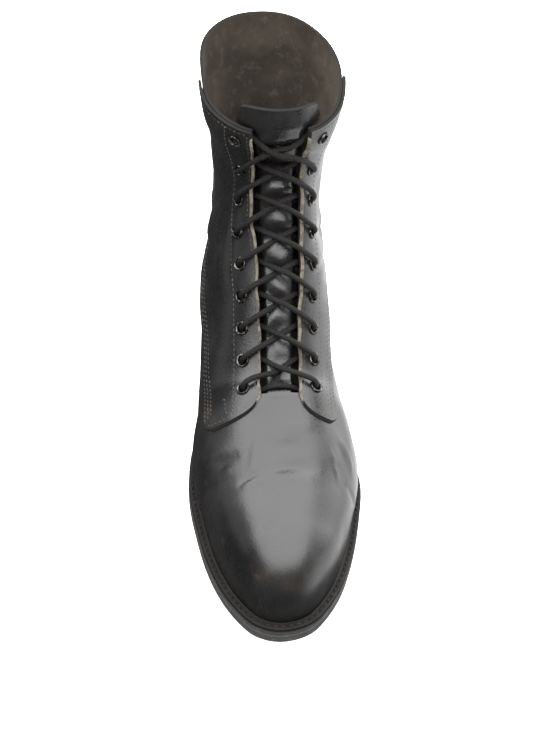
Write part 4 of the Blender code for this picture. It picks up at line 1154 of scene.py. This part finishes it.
# The welt's edge and its stitch channel: inset in metres and lift over the underside in
# millimetres, and how far its inner side stays off the upper
WELT_PROFILE = ((0.0004, 9.6), (0.00015, 10.1), (0.00015, 11.9), (0.0005, 12.4), (0.0010, 12.6),
                (0.0019, 12.6), (0.0022, 12.2), (0.0029, 12.2), (0.0032, 12.6))
WELT_TUCK = 0.0005


def welt_ring(stations=161):
    """Stations of the welt's edge with their places on the outline and the ledge there."""
    ring = rim(OUTLINE, stations)
    ring = ring[ring[:, 1] > HEEL_LENGTH]
    nearest = np.linalg.norm(OUTLINE[None] - ring[:, None], axis=2).argmin(axis=1)
    inward = (FEATHER[nearest] - OUTLINE[nearest]) / LEDGES[nearest][:, None]
    return ring, inward, LEDGES[nearest]


def build_welt(finish):
    """Welt with a stitch channel, from one side of the heel's breast round the toe to the other."""
    ring, inward, ledges = welt_ring()
    points = []
    for edge, way, reach in zip(ring, inward, ledges):
        corners = ((reach - WELT_TUCK, 9.6), *WELT_PROFILE,
                   (reach - 0.0012, 12.6), (reach - WELT_TUCK, 12.9))
        for inset, lift in corners:
            x, place = edge + way * min(inset, reach - WELT_TUCK)
            points.append((x, world_y(place), float(bottom_line(place)) + lift * MILLIMETRE))
    size = len(corners)
    last = size * (len(ring) - 1)
    faces = tube_faces(len(ring), size)
    faces += [tuple(range(size)), tuple(last + k for k in range(size))[::-1]]
    obj = mesh_object("welt_strip", points, faces, [finish])
    face_out(obj)
    finish_piece(obj, "welt", "welt", angle=40)


def build_insole(finish):
    inset = LEDGES + LEATHER + INSOLE_CLEARANCE
    low = MIDSOLE_TOP + GAP
    obj = plate("insole_board", (
        (inset + 0.0003, bottom_line, low),
        (inset, bottom_line, low + 0.0004),
        (inset, bottom_line, low + INSOLE_THICK - 0.0008),
        (inset + 0.0003, bottom_line, low + INSOLE_THICK - 0.0003),
        (inset + 0.0010, bottom_line, low + INSOLE_THICK),
    ), finish)
    finish_piece(obj, "insole", "insole", angle=40)


# Stitching
# Corners around a thread, how many of its radii it lies in the leather, and the gaps between
# stitches of the leather and of the welt
STITCH_SIDES = 6
STITCH_SINK = 0.35
STITCH_GAP = 0.0009
WELT_STITCH_GAP = 0.0013
# Row behind the eyelets: section and reach from the top line in millimetres, inner side first
EYESTAY_ROWS = (
    ((6.90, 28.0), (7.88, 27.4), (9.15, 26.4), (10.2, 27.0),
     (11.0, 28.6), (12.0, 30.6), (14.0, 32.4), (19.93, 33.4)),
    ((6.83, 25.8), (7.55, 26.6), (8.85, 29.2), (9.80, 31.8),
     (10.6, 33.2), (12.0, 33.8), (14.0, 33.8), (19.93, 33.6)),
)
# Ends of the bar tack at each quarter's foot, section and girth
TACKS = (((7.62, -0.315), (6.95, -0.290)), ((7.52, 0.315), (6.88, 0.325)))
# Section of the row under the collar, and where the rows that run up to it end
COLLAR_ROW = 19.72
ROWS_END = 19.90
# How far the rows stand off the throat's edge, the back seam and the side seam (millimetres there)
THROAT_ROW_OFF = 0.0026
BACK_ROW_OFF = 0.0028
SEAM_ROWS_OFF = (1.8, 4.6, 7.4)


def along_path(points, pitch):
    """Middles of a row's stitches, an even pitch apart."""
    run = run_of(points)
    return along_run(points, run, np.arange(0.5 * pitch, run[-1] - 0.3 * pitch, pitch))


def surface_row(t, g, height):
    """Points of a row over the worn upper and the way out of it at each."""
    line = leather_at(t, g, height)[0]
    return line, LAST.sample(LAST.normal, t, g)


def stitches(name, rows, finish, slot, pitch, length, radius):
    """One mesh of short threads along the rows, each a tapered capsule bent down at its ends."""
    turn = np.linspace(0, 2 * math.pi, STITCH_SIDES, endpoint=False)
    profile = ((-0.50, 0.35, -1.0), (-0.42, 0.80, -0.35), (-0.15, 1.0, 0.0),
               (0.15, 1.0, 0.0), (0.42, 0.80, -0.35), (0.50, 0.35, -1.0))
    points, faces = [], []
    for line, out in rows:
        middles = along_path(line, pitch)
        if not len(middles):
            continue
        nearest = np.linalg.norm(line[None] - middles[:, None], axis=2).argmin(axis=1)
        for middle, near in zip(middles, nearest):
            way = line[min(near + 1, len(line) - 1)] - line[max(near - 1, 0)]
            way /= np.linalg.norm(way)
            up = out[near] - way * (out[near] @ way)
            up /= np.linalg.norm(up)
            wide = np.cross(way, up)
            start = len(points)
            for step, size, drop in profile:
                centre = middle + way * step * length + up * radius * (drop - STITCH_SINK)
                points += [centre + radius * size * (math.cos(a) * wide + math.sin(a) * up) for a in turn]
            end = start + STITCH_SIDES * (len(profile) - 1)
            faces += tube_faces(len(profile), STITCH_SIDES, start)
            faces.append(tuple(start + a for a in range(STITCH_SIDES))[::-1])
            faces.append(tuple(end + a for a in range(STITCH_SIDES)))
    obj = mesh_object(name, points, faces, [finish])
    face_out(obj)
    finish_piece(obj, slot, angle=70)


def eyestay_row(side):
    """Row behind the eyelets, from the quarter's lower edge up the shaft."""
    rows = EYESTAY_ROWS[side]
    t = np.linspace(rows[0][0], rows[-1][0], 260)
    reach = table(rows, t)[0] * MILLIMETRE
    return t, SIGNS[side] * reach / LAST.girth_at(t, side)


def quarter_rows(side):
    """Rows of a quarter: foot, throat edge, eyestay, collar and side seam, then the bar tack."""
    sign = SIGNS[side]

    def row_across(t, share):
        edge = edge_reach(t, side) / LAST.girth_at(t, side)
        return t, sign * (edge + (seam(t, side) - edge) * share)

    share = np.linspace(0.05, 0.93, 120)
    rows = [row_across(table(QUARTER_EDGE, share)[0] + 0.17, share)]
    t = np.linspace(7.60, ROWS_END, 300)
    rows.append((t, sign * (edge_reach(t, side) + THROAT_ROW_OFF) / LAST.girth_at(t, side)))
    rows.append(eyestay_row(side))
    rows.append(row_across(np.full(60, COLLAR_ROW), np.linspace(0.06, 0.98, 60)))
    for near in SEAM_ROWS_OFF:
        t = np.linspace(7.02 + 0.02 * near, ROWS_END, 300)
        closer = 1 - 0.35 * smooth((t - 9) / 5)
        rows.append((t, sign * (seam(t, side) - near * closer * MILLIMETRE / LAST.girth_at(t, side))))
    (top_t, top_g), (foot_t, foot_g) = TACKS[side]
    rows.append((np.linspace(top_t, foot_t, 30), np.linspace(top_g, foot_g, 30)))
    return rows


def build_leather_stitches(length, radius, finish):
    """Rows of the quarters, of the back seam's two sides and of the collar behind the quarters."""
    pitch = length + STITCH_GAP
    for side, word in enumerate(WORDS):
        rows = [surface_row(t, g, QUARTER_TOP) for t, g in quarter_rows(side)]
        stitches(f"stitches_{word}", rows, finish, "lace", pitch, length, radius)
    t = np.linspace(14.2, LAST_SECTION - 0.1, 200)
    rows = [surface_row(t, sign * (1 - BACK_ROW_OFF / LAST.girth_at(t, 0)), 0.0) for sign in SIGNS]
    for side, sign in enumerate(SIGNS):
        g = sign * np.linspace(float(seam(19.7, side)) + 0.03, 0.975, 80)
        rows.append(surface_row(np.full(80, COLLAR_ROW), g, 0.0))
    stitches("stitches_back", rows, finish, "lace", pitch, length, radius)


def build_welt_stitches(length, radius, finish):
    ring, inward, _ = welt_ring(321)
    spots = ring + inward * 0.00255
    line = np.column_stack([spots[:, 0], world_y(spots[:, 1]), bottom_line(spots[:, 1]) + 0.0127])
    out = np.tile(np.array((0.0, 0.0, 1.0)), (len(line), 1))
    stitches("stitches_welt", [(line, out)], finish, "welt", length + WELT_STITCH_GAP, length, radius)


# Materials
def add_node(tree, kind, values=None, **settings):
    """Shader node with its settings and with each value, or each linked output, set on its input."""
    node = tree.nodes.new(kind)
    for name, value in settings.items():
        setattr(node, name, value)
    for name, value in (values or {}).items():
        if isinstance(value, bpy.types.NodeSocket):
            tree.links.new(value, node.inputs[name])
        else:
            node.inputs[name].default_value = value
    return node


def value_of(tree, operation, first, second=0.0, clamp=False):
    """Result of a sum on values or linked outputs."""
    values = {0: first, 1: second}
    return add_node(tree, "ShaderNodeMath", values, operation=operation, use_clamp=clamp).outputs[0]


def between(tree, value, low, high):
    """Share of the way from one value to another, clamped and eased."""
    node = add_node(tree, "ShaderNodeMapRange", {"Value": value, "From Min": low, "From Max": high},
                    interpolation_type="SMOOTHSTEP")
    return node.outputs["Result"]


def group(name, inputs, outputs):
    """Empty node group with float inputs and outputs, and its tree's ends."""
    tree = bpy.data.node_groups.new(name, "ShaderNodeTree")
    for label, value in inputs.items():
        socket = tree.interface.new_socket(label, in_out="INPUT", socket_type="NodeSocketFloat")
        socket.default_value = value
    for label in outputs:
        tree.interface.new_socket(label, in_out="OUTPUT", socket_type="NodeSocketFloat")
    start = tree.nodes.new("NodeGroupInput")
    end = tree.nodes.new("NodeGroupOutput")
    return tree, start.outputs, end.inputs


def noise(tree, where, scale, detail=2.0, roughness=0.5, distortion=0.0):
    return add_node(tree, "ShaderNodeTexNoise", {
        "Vector": where, "Scale": scale, "Detail": detail, "Roughness": roughness,
        "Distortion": distortion,
    }).outputs["Fac"]


def grain_group():
    """Leather's fine relief: pores and small creases."""
    tree, start, end = group("leather_grain", {"Creases": 1.0}, ("Height",))
    where = add_node(tree, "ShaderNodeTexCoord").outputs["Object"]
    pores = add_node(tree, "ShaderNodeTexVoronoi", {"Vector": where, "Scale": 1150.0}).outputs["Distance"]
    bent = noise(tree, where, 190.0, 3.0, 0.6, 0.6)
    crease = value_of(tree, "ABSOLUTE", value_of(tree, "SUBTRACT", bent, 0.5))
    crease = value_of(tree, "SUBTRACT", 1.0, between(tree, crease, 0.0, 0.05))
    soft = noise(tree, where, 420.0, 2.0)
    height = value_of(tree, "ADD", pores, value_of(tree, "MULTIPLY", soft, 0.8))
    height = value_of(tree, "SUBTRACT", height, value_of(tree, "MULTIPLY", crease, start["Creases"]))
    tree.links.new(height, end["Height"])


def wear_group():
    """Masks of wear: broad patches, scuffs, fine scratches and dust."""
    tree, _, end = group("wear", {}, ("Patches", "Scuffs", "Scratches", "Dust"))
    where = add_node(tree, "ShaderNodeTexCoord").outputs["Object"]
    patches = noise(tree, where, 26.0, 3.0, 0.6)
    tree.links.new(between(tree, patches, 0.38, 0.66), end["Patches"])
    coarse, fine = noise(tree, where, 55.0, 4.0, 0.7), noise(tree, where, 330.0, 3.0, 0.7)
    rub = value_of(tree, "MULTIPLY", coarse, fine)
    tree.links.new(between(tree, rub, 0.34, 0.48), end["Scuffs"])
    drawn = add_node(tree, "ShaderNodeMapping", {"Vector": where, "Rotation": (0.3, 0.5, 0.8),
                                                 "Scale": (900.0, 60.0, 260.0)}).outputs["Vector"]
    lines = noise(tree, drawn, 1.0, 2.0, 0.5, 0.3)
    tree.links.new(between(tree, lines, 0.70, 0.76), end["Scratches"])
    tree.links.new(between(tree, noise(tree, where, 140.0, 5.0, 0.75), 0.50, 0.72), end["Dust"])


def new_material(name, colour, roughness, metallic=0.0):
    finish = bpy.data.materials.new(name)
    finish.use_nodes = True
    shader = finish.node_tree.nodes["Principled BSDF"]
    shader.inputs["Base Color"].default_value = (*colour, 1.0)
    shader.inputs["Roughness"].default_value = roughness
    shader.inputs["Metallic"].default_value = metallic
    return finish, finish.node_tree, shader


def blend(tree, share, first, second):
    """Colour between two, each a colour or a linked output."""
    node = tree.nodes.new("ShaderNodeMix")
    node.data_type = "RGBA"
    for number, value in ((0, share), (6, first), (7, second)):
        if isinstance(value, bpy.types.NodeSocket):
            tree.links.new(value, node.inputs[number])
        else:
            node.inputs[number].default_value = (*value, 1.0) if number else value
    return node.outputs[2]


def toned(colour, factor, lift=0.0):
    """Colour made darker or lighter by a factor and a lift, one for all parts or one each."""
    lifts = np.broadcast_to(lift, 3).tolist()
    return tuple(min(1.0, factor * part + more) for part, more in zip(colour, lifts))


def add_bump(tree, shader, height, distance, strength=1.0):
    values = {"Height": height, "Distance": distance, "Strength": strength}
    bump = add_node(tree, "ShaderNodeBump", values)
    tree.links.new(bump.outputs["Normal"], shader.inputs["Normal"])


# Colours that no setting changes: leather rubbed through, its blacked edge and the eyelets' bare metal
BARE_LEATHER = (0.050, 0.033, 0.022)
BLACKED_EDGE = (0.009, 0.0085, 0.008)
BARE_METAL = (0.16, 0.155, 0.145)


def use_group(tree, name, values=None):
    node = tree.nodes.new("ShaderNodeGroup")
    node.node_tree = bpy.data.node_groups[name]
    for label, value in (values or {}).items():
        node.inputs[label].default_value = value
    return node.outputs


def leather_material(name, colour, roughness, creases, coat):
    finish, tree, shader = new_material(name, colour, roughness)
    grain = use_group(tree, "leather_grain", {"Creases": creases})
    wear = use_group(tree, "wear")
    fold = add_node(tree, "ShaderNodeAttribute", attribute_name="fold").outputs["Fac"]
    ridge = between(tree, fold, 0.15, 0.9)
    rubbed = value_of(tree, "MULTIPLY", ridge, wear["Scuffs"])
    rubbed = value_of(tree, "MAXIMUM", rubbed, value_of(tree, "MULTIPLY", wear["Scuffs"], 0.35))
    rubbed = value_of(tree, "MAXIMUM", rubbed, value_of(tree, "MULTIPLY", wear["Scratches"], 0.30))
    dusty = toned(colour, 1.0, (0.010, 0.009, 0.008))
    base = blend(tree, value_of(tree, "MULTIPLY", wear["Patches"], 0.35), colour, dusty)
    base = blend(tree, rubbed, base, toned(colour, 2.2, 0.010))
    rub = add_node(tree, "ShaderNodeAttribute", attribute_name="rub").outputs["Fac"]
    rub = value_of(tree, "MULTIPLY", rub, value_of(tree, "ADD", wear["Dust"], 0.25), clamp=True)
    base = blend(tree, rub, base, BARE_LEATHER)
    tree.links.new(base, shader.inputs["Base Color"])
    rough = value_of(tree, "ADD", roughness - 0.05, value_of(tree, "MULTIPLY", wear["Patches"], 0.14))
    rough = value_of(tree, "ADD", rough, value_of(tree, "MULTIPLY", rubbed, 0.08))
    tree.links.new(rough, shader.inputs["Roughness"])
    shader.inputs["Coat Weight"].default_value = coat
    shader.inputs["Coat Roughness"].default_value = 0.22
    add_bump(tree, shader, grain["Height"], 0.00010, 0.55)
    return finish


def raw_edge_material(colour):
    finish, tree, shader = new_material("raw_leather_edge", colour, 0.85)
    where = add_node(tree, "ShaderNodeTexCoord").outputs["Object"]
    fibres = noise(tree, where, 900.0, 4.0, 0.7)
    stain = noise(tree, where, 150.0, 3.0, 0.6)
    bare = add_node(tree, "ShaderNodeAttribute", attribute_name="bare").outputs["Fac"]
    blacked = value_of(tree, "SUBTRACT", value_of(tree, "ADD", stain, 0.62), bare)
    spots = between(tree, noise(tree, where, 230.0, 3.0, 0.6), 0.40, 0.62)
    raw = blend(tree, spots, colour, toned(colour, 0.45))
    base = blend(tree, between(tree, blacked, 0.22, 0.40), raw, BLACKED_EDGE)
    shader.inputs["Specular IOR Level"].default_value = 0.15
    tree.links.new(base, shader.inputs["Base Color"])
    add_bump(tree, shader, fibres, 0.00025, 0.8)
    return finish


def fibre_material(name, colour, roughness, scale):
    """Matt finish of lining, insole and welt, with a fibrous relief and stains."""
    finish, tree, shader = new_material(name, colour, roughness)
    where = add_node(tree, "ShaderNodeTexCoord").outputs["Object"]
    wear = use_group(tree, "wear")
    shader.inputs["Specular IOR Level"].default_value = 0.15
    base = blend(tree, wear["Patches"], toned(colour, 0.6), colour)
    base = blend(tree, value_of(tree, "MULTIPLY", wear["Dust"], 0.6), base, toned(colour, 1.5, 0.004))
    tree.links.new(base, shader.inputs["Base Color"])
    add_bump(tree, shader, noise(tree, where, scale, 4.0, 0.7), 0.00020, 0.7)
    return finish


def rubber_material(name, colour, roughness):
    finish, tree, shader = new_material(name, colour, roughness)
    wear = use_group(tree, "wear")
    where = add_node(tree, "ShaderNodeTexCoord").outputs["Object"]
    dust = toned(colour, 1.0, (0.040, 0.038, 0.035))
    base = blend(tree, value_of(tree, "MULTIPLY", wear["Dust"], 0.55), colour, dust)
    base = blend(tree, value_of(tree, "MULTIPLY", wear["Scuffs"], 0.5), base, dust)
    tree.links.new(base, shader.inputs["Base Color"])
    add_bump(tree, shader, noise(tree, where, 520.0, 4.0, 0.6), 0.00015, 0.6)
    return finish


def thread_material(name, colour):
    finish, tree, shader = new_material(name, colour, 0.75)
    shader.inputs["Specular IOR Level"].default_value = 0.15
    wear = use_group(tree, "wear")
    tree.links.new(blend(tree, wear["Dust"], toned(colour, 0.45), colour), shader.inputs["Base Color"])
    return finish


def metal_material(colour, worn):
    """Blackened eyelets, bare on the rings' crowns."""
    finish, tree, shader = new_material("worn_metal", colour, 0.42, 0.9)
    where = add_node(tree, "ShaderNodeTexCoord").outputs["Object"]
    bare = between(tree, noise(tree, where, 420.0, 4.0, 0.7), 0.47, 0.62)
    tree.links.new(blend(tree, bare, colour, worn), shader.inputs["Base Color"])
    rough = value_of(tree, "ADD", 0.30, value_of(tree, "MULTIPLY", bare, 0.12))
    tree.links.new(rough, shader.inputs["Roughness"])
    add_bump(tree, shader, noise(tree, where, 1500.0, 2.0), 0.00008, 0.5)
    return finish


def lace_material(colour):
    """Round woven lace: a herringbone of strands around the cord, with painted shade in the grooves
    between the strands and a painted highlight on the strands' crowns.
    """
    finish, tree, shader = new_material("woven_lace", colour, 0.60)
    shader.inputs["Specular IOR Level"].default_value = 0.15
    place = add_node(tree, "ShaderNodeUVMap", uv_map="weave").outputs["UV"]
    parts = add_node(tree, "ShaderNodeSeparateXYZ", {"Vector": place}).outputs
    turn = value_of(tree, "MULTIPLY", parts["Y"], 8.0)
    run = value_of(tree, "MULTIPLY", parts["X"], 6.0)
    waves = []
    for way in ("ADD", "SUBTRACT"):
        slope = value_of(tree, way, run, turn)
        wave = value_of(tree, "SINE", value_of(tree, "MULTIPLY", slope, math.pi))
        waves.append(value_of(tree, "ABSOLUTE", wave))
    # The weave's relief drives the bump and also the painted shade and highlight in the colour
    relief = value_of(tree, "MULTIPLY", waves[0], waves[1])
    # Painted shade and highlight: the grooves are darkened to half the lace's colour and the crowns
    # lightened almost twofold
    base = blend(tree, relief, toned(colour, 0.5), toned(colour, 1.9, 0.004))
    tree.links.new(base, shader.inputs["Base Color"])
    add_bump(tree, shader, relief, 0.00035, 0.9)
    return finish


# Stage: the floor as white as the photograph's, seen by the camera but not by reflections
FLOOR_SIZE = 12.0
FLOOR_GLOW = 0.95
# Background as the camera sees it, and what is left of it as light
SKY_COLOUR = (0.95, 0.97, 1.0, 1.0)
SKY_LIGHT = 0.07
SKY_SEEN = 0.93
# Area lights: where they stand and look, width and height in metres, power in watts. The last one
# lies just over the floor, for the pale band along the outer side.
LAMPS = (
    ("overhead", (0.0, 0.2, 1.75), (0.0, 0.2, 0.0), 4.2, 4.2, 350.0),
    ("side", (1.55, 1.05, 0.50), (0.0, 0.0, 0.06), 2.8, 1.3, 50.0),
    ("fill", (-1.5, 0.2, 0.60), (0.0, 0.0, 0.10), 0.9, 1.2, 2.4),
    ("bounce", (0.36, 0.10, 0.004), (0.36, 0.10, 1.0), 0.6, 0.9, 3.4),
)


def lay_floor(colour):
    bpy.ops.object.select_all(action="DESELECT")
    bpy.ops.mesh.primitive_plane_add(size=FLOOR_SIZE)
    floor = bpy.context.active_object
    floor.name = "floor"
    finish, _, shader = new_material("floor", colour, 0.8)
    shader.inputs["Specular IOR Level"].default_value = 0.2
    shader.inputs["Emission Color"].default_value = (1.0, 1.0, 1.0, 1.0)
    shader.inputs["Emission Strength"].default_value = FLOOR_GLOW
    floor.data.materials.append(finish)
    floor.visible_glossy = False


def light_world(scene):
    world = bpy.data.worlds.new("studio")
    world.use_nodes = True
    tree = world.node_tree
    sky = tree.nodes["Background"].inputs
    sky["Color"].default_value = SKY_COLOUR
    seen = add_node(tree, "ShaderNodeLightPath").outputs["Is Camera Ray"]
    strength = value_of(tree, "ADD", SKY_LIGHT, value_of(tree, "MULTIPLY", seen, SKY_SEEN))
    tree.links.new(strength, sky["Strength"])
    scene.world = world


def add_lamp(name, spot, aim, width, height, power):
    bpy.ops.object.light_add(type="AREA", location=spot)
    lamp = bpy.context.active_object
    lamp.name = f"{name}_light"
    lamp.rotation_euler = (Vector(aim) - Vector(spot)).to_track_quat("-Z", "Y").to_euler()
    lamp.data.shape = "RECTANGLE"
    lamp.data.size = width
    lamp.data.size_y = height
    lamp.data.energy = power
    lamp.visible_camera = False


def aim_camera(scene):
    bpy.ops.object.camera_add(location=CAMERA)
    camera = bpy.context.active_object
    camera.name = "photo_camera"
    aim = (Vector(CAMERA_AIM) - Vector(CAMERA)).to_track_quat("-Z", "Y").to_matrix()
    camera.rotation_euler = (aim @ Matrix.Rotation(CAMERA_ROLL, 3, "Z")).to_euler()
    camera.data.sensor_fit = "VERTICAL"
    camera.data.sensor_height = SENSOR_HEIGHT
    camera.data.lens = LENS
    scene.camera = camera
    scene.view_settings.view_transform = "Standard"


# Settings and operators
def length_property(label, description, default):
    return bpy.props.FloatProperty(name=label, description=description, default=default, unit="LENGTH")


def colour_property(label, default):
    return bpy.props.FloatVectorProperty(
        name=label, description=f"Base colour: {label.lower()}", default=default,
        size=3, min=0.0, max=1.0, subtype="COLOR")


class BootSizes(bpy.types.PropertyGroup):
    lace_radius: length_property("Lace radius", "Half the lace's thickness", 0.00170)
    stitch_length: length_property("Stitch", "Length of a leather stitch", 0.0021)
    welt_stitch_length: length_property("Welt stitch", "Length of a welt stitch", 0.0032)
    thread_radius: length_property("Thread radius", "Half the leather thread's thickness", 0.00030)


class BootColours(bpy.types.PropertyGroup):
    leather: colour_property("Leather", (0.0045, 0.0044, 0.0045))
    raw_edge: colour_property("Raw edge", (0.150, 0.130, 0.100))
    lining: colour_property("Lining", (0.060, 0.050, 0.040))
    rubber: colour_property("Rubber", (0.026, 0.0250, 0.0245))
    welt: colour_property("Welt", (0.0075, 0.0062, 0.0055))
    thread: colour_property("Leather thread", (0.120, 0.105, 0.090))
    welt_thread: colour_property("Welt thread", (0.030, 0.025, 0.021))
    metal: colour_property("Eyelets", (0.015, 0.0145, 0.014))
    lace: colour_property("Lace", (0.0060, 0.0050, 0.0046))
    floor: colour_property("Floor", (0.80, 0.80, 0.79))


def finish_of(name):
    found = bpy.data.materials.get(name)
    if found is None:
        raise RuntimeError(f"the material {name} is missing: run the finishes first")
    return found


class BOOT_OT_finishes(bpy.types.Operator):
    """Makes the materials of every piece"""
    bl_idname = "boot.finishes"
    bl_label = "Finishes"
    bl_options = {"REGISTER", "UNDO"}

    def execute(self, context):
        colours = context.scene.boot_colours
        grain_group()
        wear_group()
        leather_material("black_leather", tuple(colours.leather), 0.32, 0.22, 0.0)
        leather_material("tongue_leather", tuple(colours.leather), 0.28, 0.6, 0.10)
        raw_edge_material(tuple(colours.raw_edge))
        fibre_material("lining", tuple(colours.lining), 0.9, 700.0)
        fibre_material("insole_board", tuple(colours.lining), 0.85, 400.0)
        fibre_material("welt_leather", tuple(colours.welt), 0.6, 500.0)
        rubber_material("sole_rubber", tuple(colours.rubber), 0.62)
        thread_material("leather_thread", tuple(colours.thread))
        thread_material("welt_thread", tuple(colours.welt_thread))
        metal_material(tuple(colours.metal), BARE_METAL)
        lace_material(tuple(colours.lace))
        return {"FINISHED"}


class BOOT_OT_sole(bpy.types.Operator):
    """Builds the outsole with its tread, the midsole and the stacked heel"""
    bl_idname = "boot.sole"
    bl_label = "Sole and heel"
    bl_options = {"REGISTER", "UNDO"}

    def execute(self, context):
        rubber = finish_of("sole_rubber")
        build_outsole(rubber)
        build_midsole(rubber)
        build_heel(rubber)
        return {"FINISHED"}


class BOOT_OT_welt(bpy.types.Operator):
    """Builds the welt with its stitches, and the insole"""
    bl_idname = "boot.welt"
    bl_label = "Welt and insole"
    bl_options = {"REGISTER", "UNDO"}

    def execute(self, context):
        sizes = context.scene.boot_sizes
        build_welt(finish_of("welt_leather"))
        build_welt_stitches(sizes.welt_stitch_length, sizes.thread_radius * 2, finish_of("welt_thread"))
        build_insole(finish_of("insole_board"))
        return {"FINISHED"}


class BOOT_OT_upper(bpy.types.Operator):
    """Builds the vamp and shaft, the two quarters and the tongue"""
    bl_idname = "boot.upper"
    bl_label = "Upper, quarters and tongue"
    bl_options = {"REGISTER", "UNDO"}

    def execute(self, context):
        edge, lining = finish_of("raw_leather_edge"), finish_of("lining")
        build_upper([finish_of("black_leather"), lining, edge])
        for side in (0, 1):
            build_quarter(side, [finish_of("black_leather"), lining, edge])
        build_tongue([finish_of("tongue_leather"), lining, edge])
        return {"FINISHED"}


class BOOT_OT_stitches(bpy.types.Operator):
    """Sews the quarters, the collar and the back seam"""
    bl_idname = "boot.stitches"
    bl_label = "Stitches"
    bl_options = {"REGISTER", "UNDO"}

    def execute(self, context):
        sizes = context.scene.boot_sizes
        build_leather_stitches(sizes.stitch_length, sizes.thread_radius, finish_of("leather_thread"))
        return {"FINISHED"}


class BOOT_OT_lace(bpy.types.Operator):
    """Sets the eyelets and runs the lace through them"""
    bl_idname = "boot.lace"
    bl_label = "Eyelets and lace"
    bl_options = {"REGISTER", "UNDO"}

    def execute(self, context):
        for side in (0, 1):
            for number in range(EYELET_PAIRS):
                build_eyelet(number, side, finish_of("worn_metal"))
        build_lace(context.scene.boot_sizes.lace_radius, finish_of("woven_lace"))
        return {"FINISHED"}


class BOOT_OT_stage(bpy.types.Operator):
    """Lays the pale floor and sets the lights and the camera"""
    bl_idname = "boot.stage"
    bl_label = "Stage"
    bl_options = {"REGISTER", "UNDO"}

    def execute(self, context):
        lay_floor(tuple(context.scene.boot_colours.floor))
        light_world(context.scene)
        for name, spot, aim, width, height, power in LAMPS:
            add_lamp(name, spot, aim, width, height, power)
        aim_camera(context.scene)
        return {"FINISHED"}


STEPS = (BOOT_OT_finishes, BOOT_OT_sole, BOOT_OT_welt, BOOT_OT_upper,
         BOOT_OT_stitches, BOOT_OT_lace, BOOT_OT_stage)


class BOOT_PT_panel(bpy.types.Panel):
    bl_idname = "BOOT_PT_panel"
    bl_label = "Combat boot"
    bl_space_type = "VIEW_3D"
    bl_region_type = "UI"
    bl_category = "Boot"

    def draw(self, context):
        for step in STEPS:
            self.layout.operator(step.bl_idname)
        for settings in (context.scene.boot_sizes, context.scene.boot_colours):
            for name in settings.__annotations__:
                self.layout.prop(settings, name)


CLASSES = (BootSizes, BootColours, *STEPS, BOOT_PT_panel)


def register():
    for kind in CLASSES:
        bpy.utils.register_class(kind)
    bpy.types.Scene.boot_sizes = bpy.props.PointerProperty(type=BootSizes)
    bpy.types.Scene.boot_colours = bpy.props.PointerProperty(type=BootColours)


def unregister():
    del bpy.types.Scene.boot_colours
    del bpy.types.Scene.boot_sizes
    for kind in reversed(CLASSES):
        bpy.utils.unregister_class(kind)


def main():
    register()
    for step in STEPS:
        package, name = step.bl_idname.split(".")
        getattr(getattr(bpy.ops, package), name)()


if __name__ == "__main__":
    main()
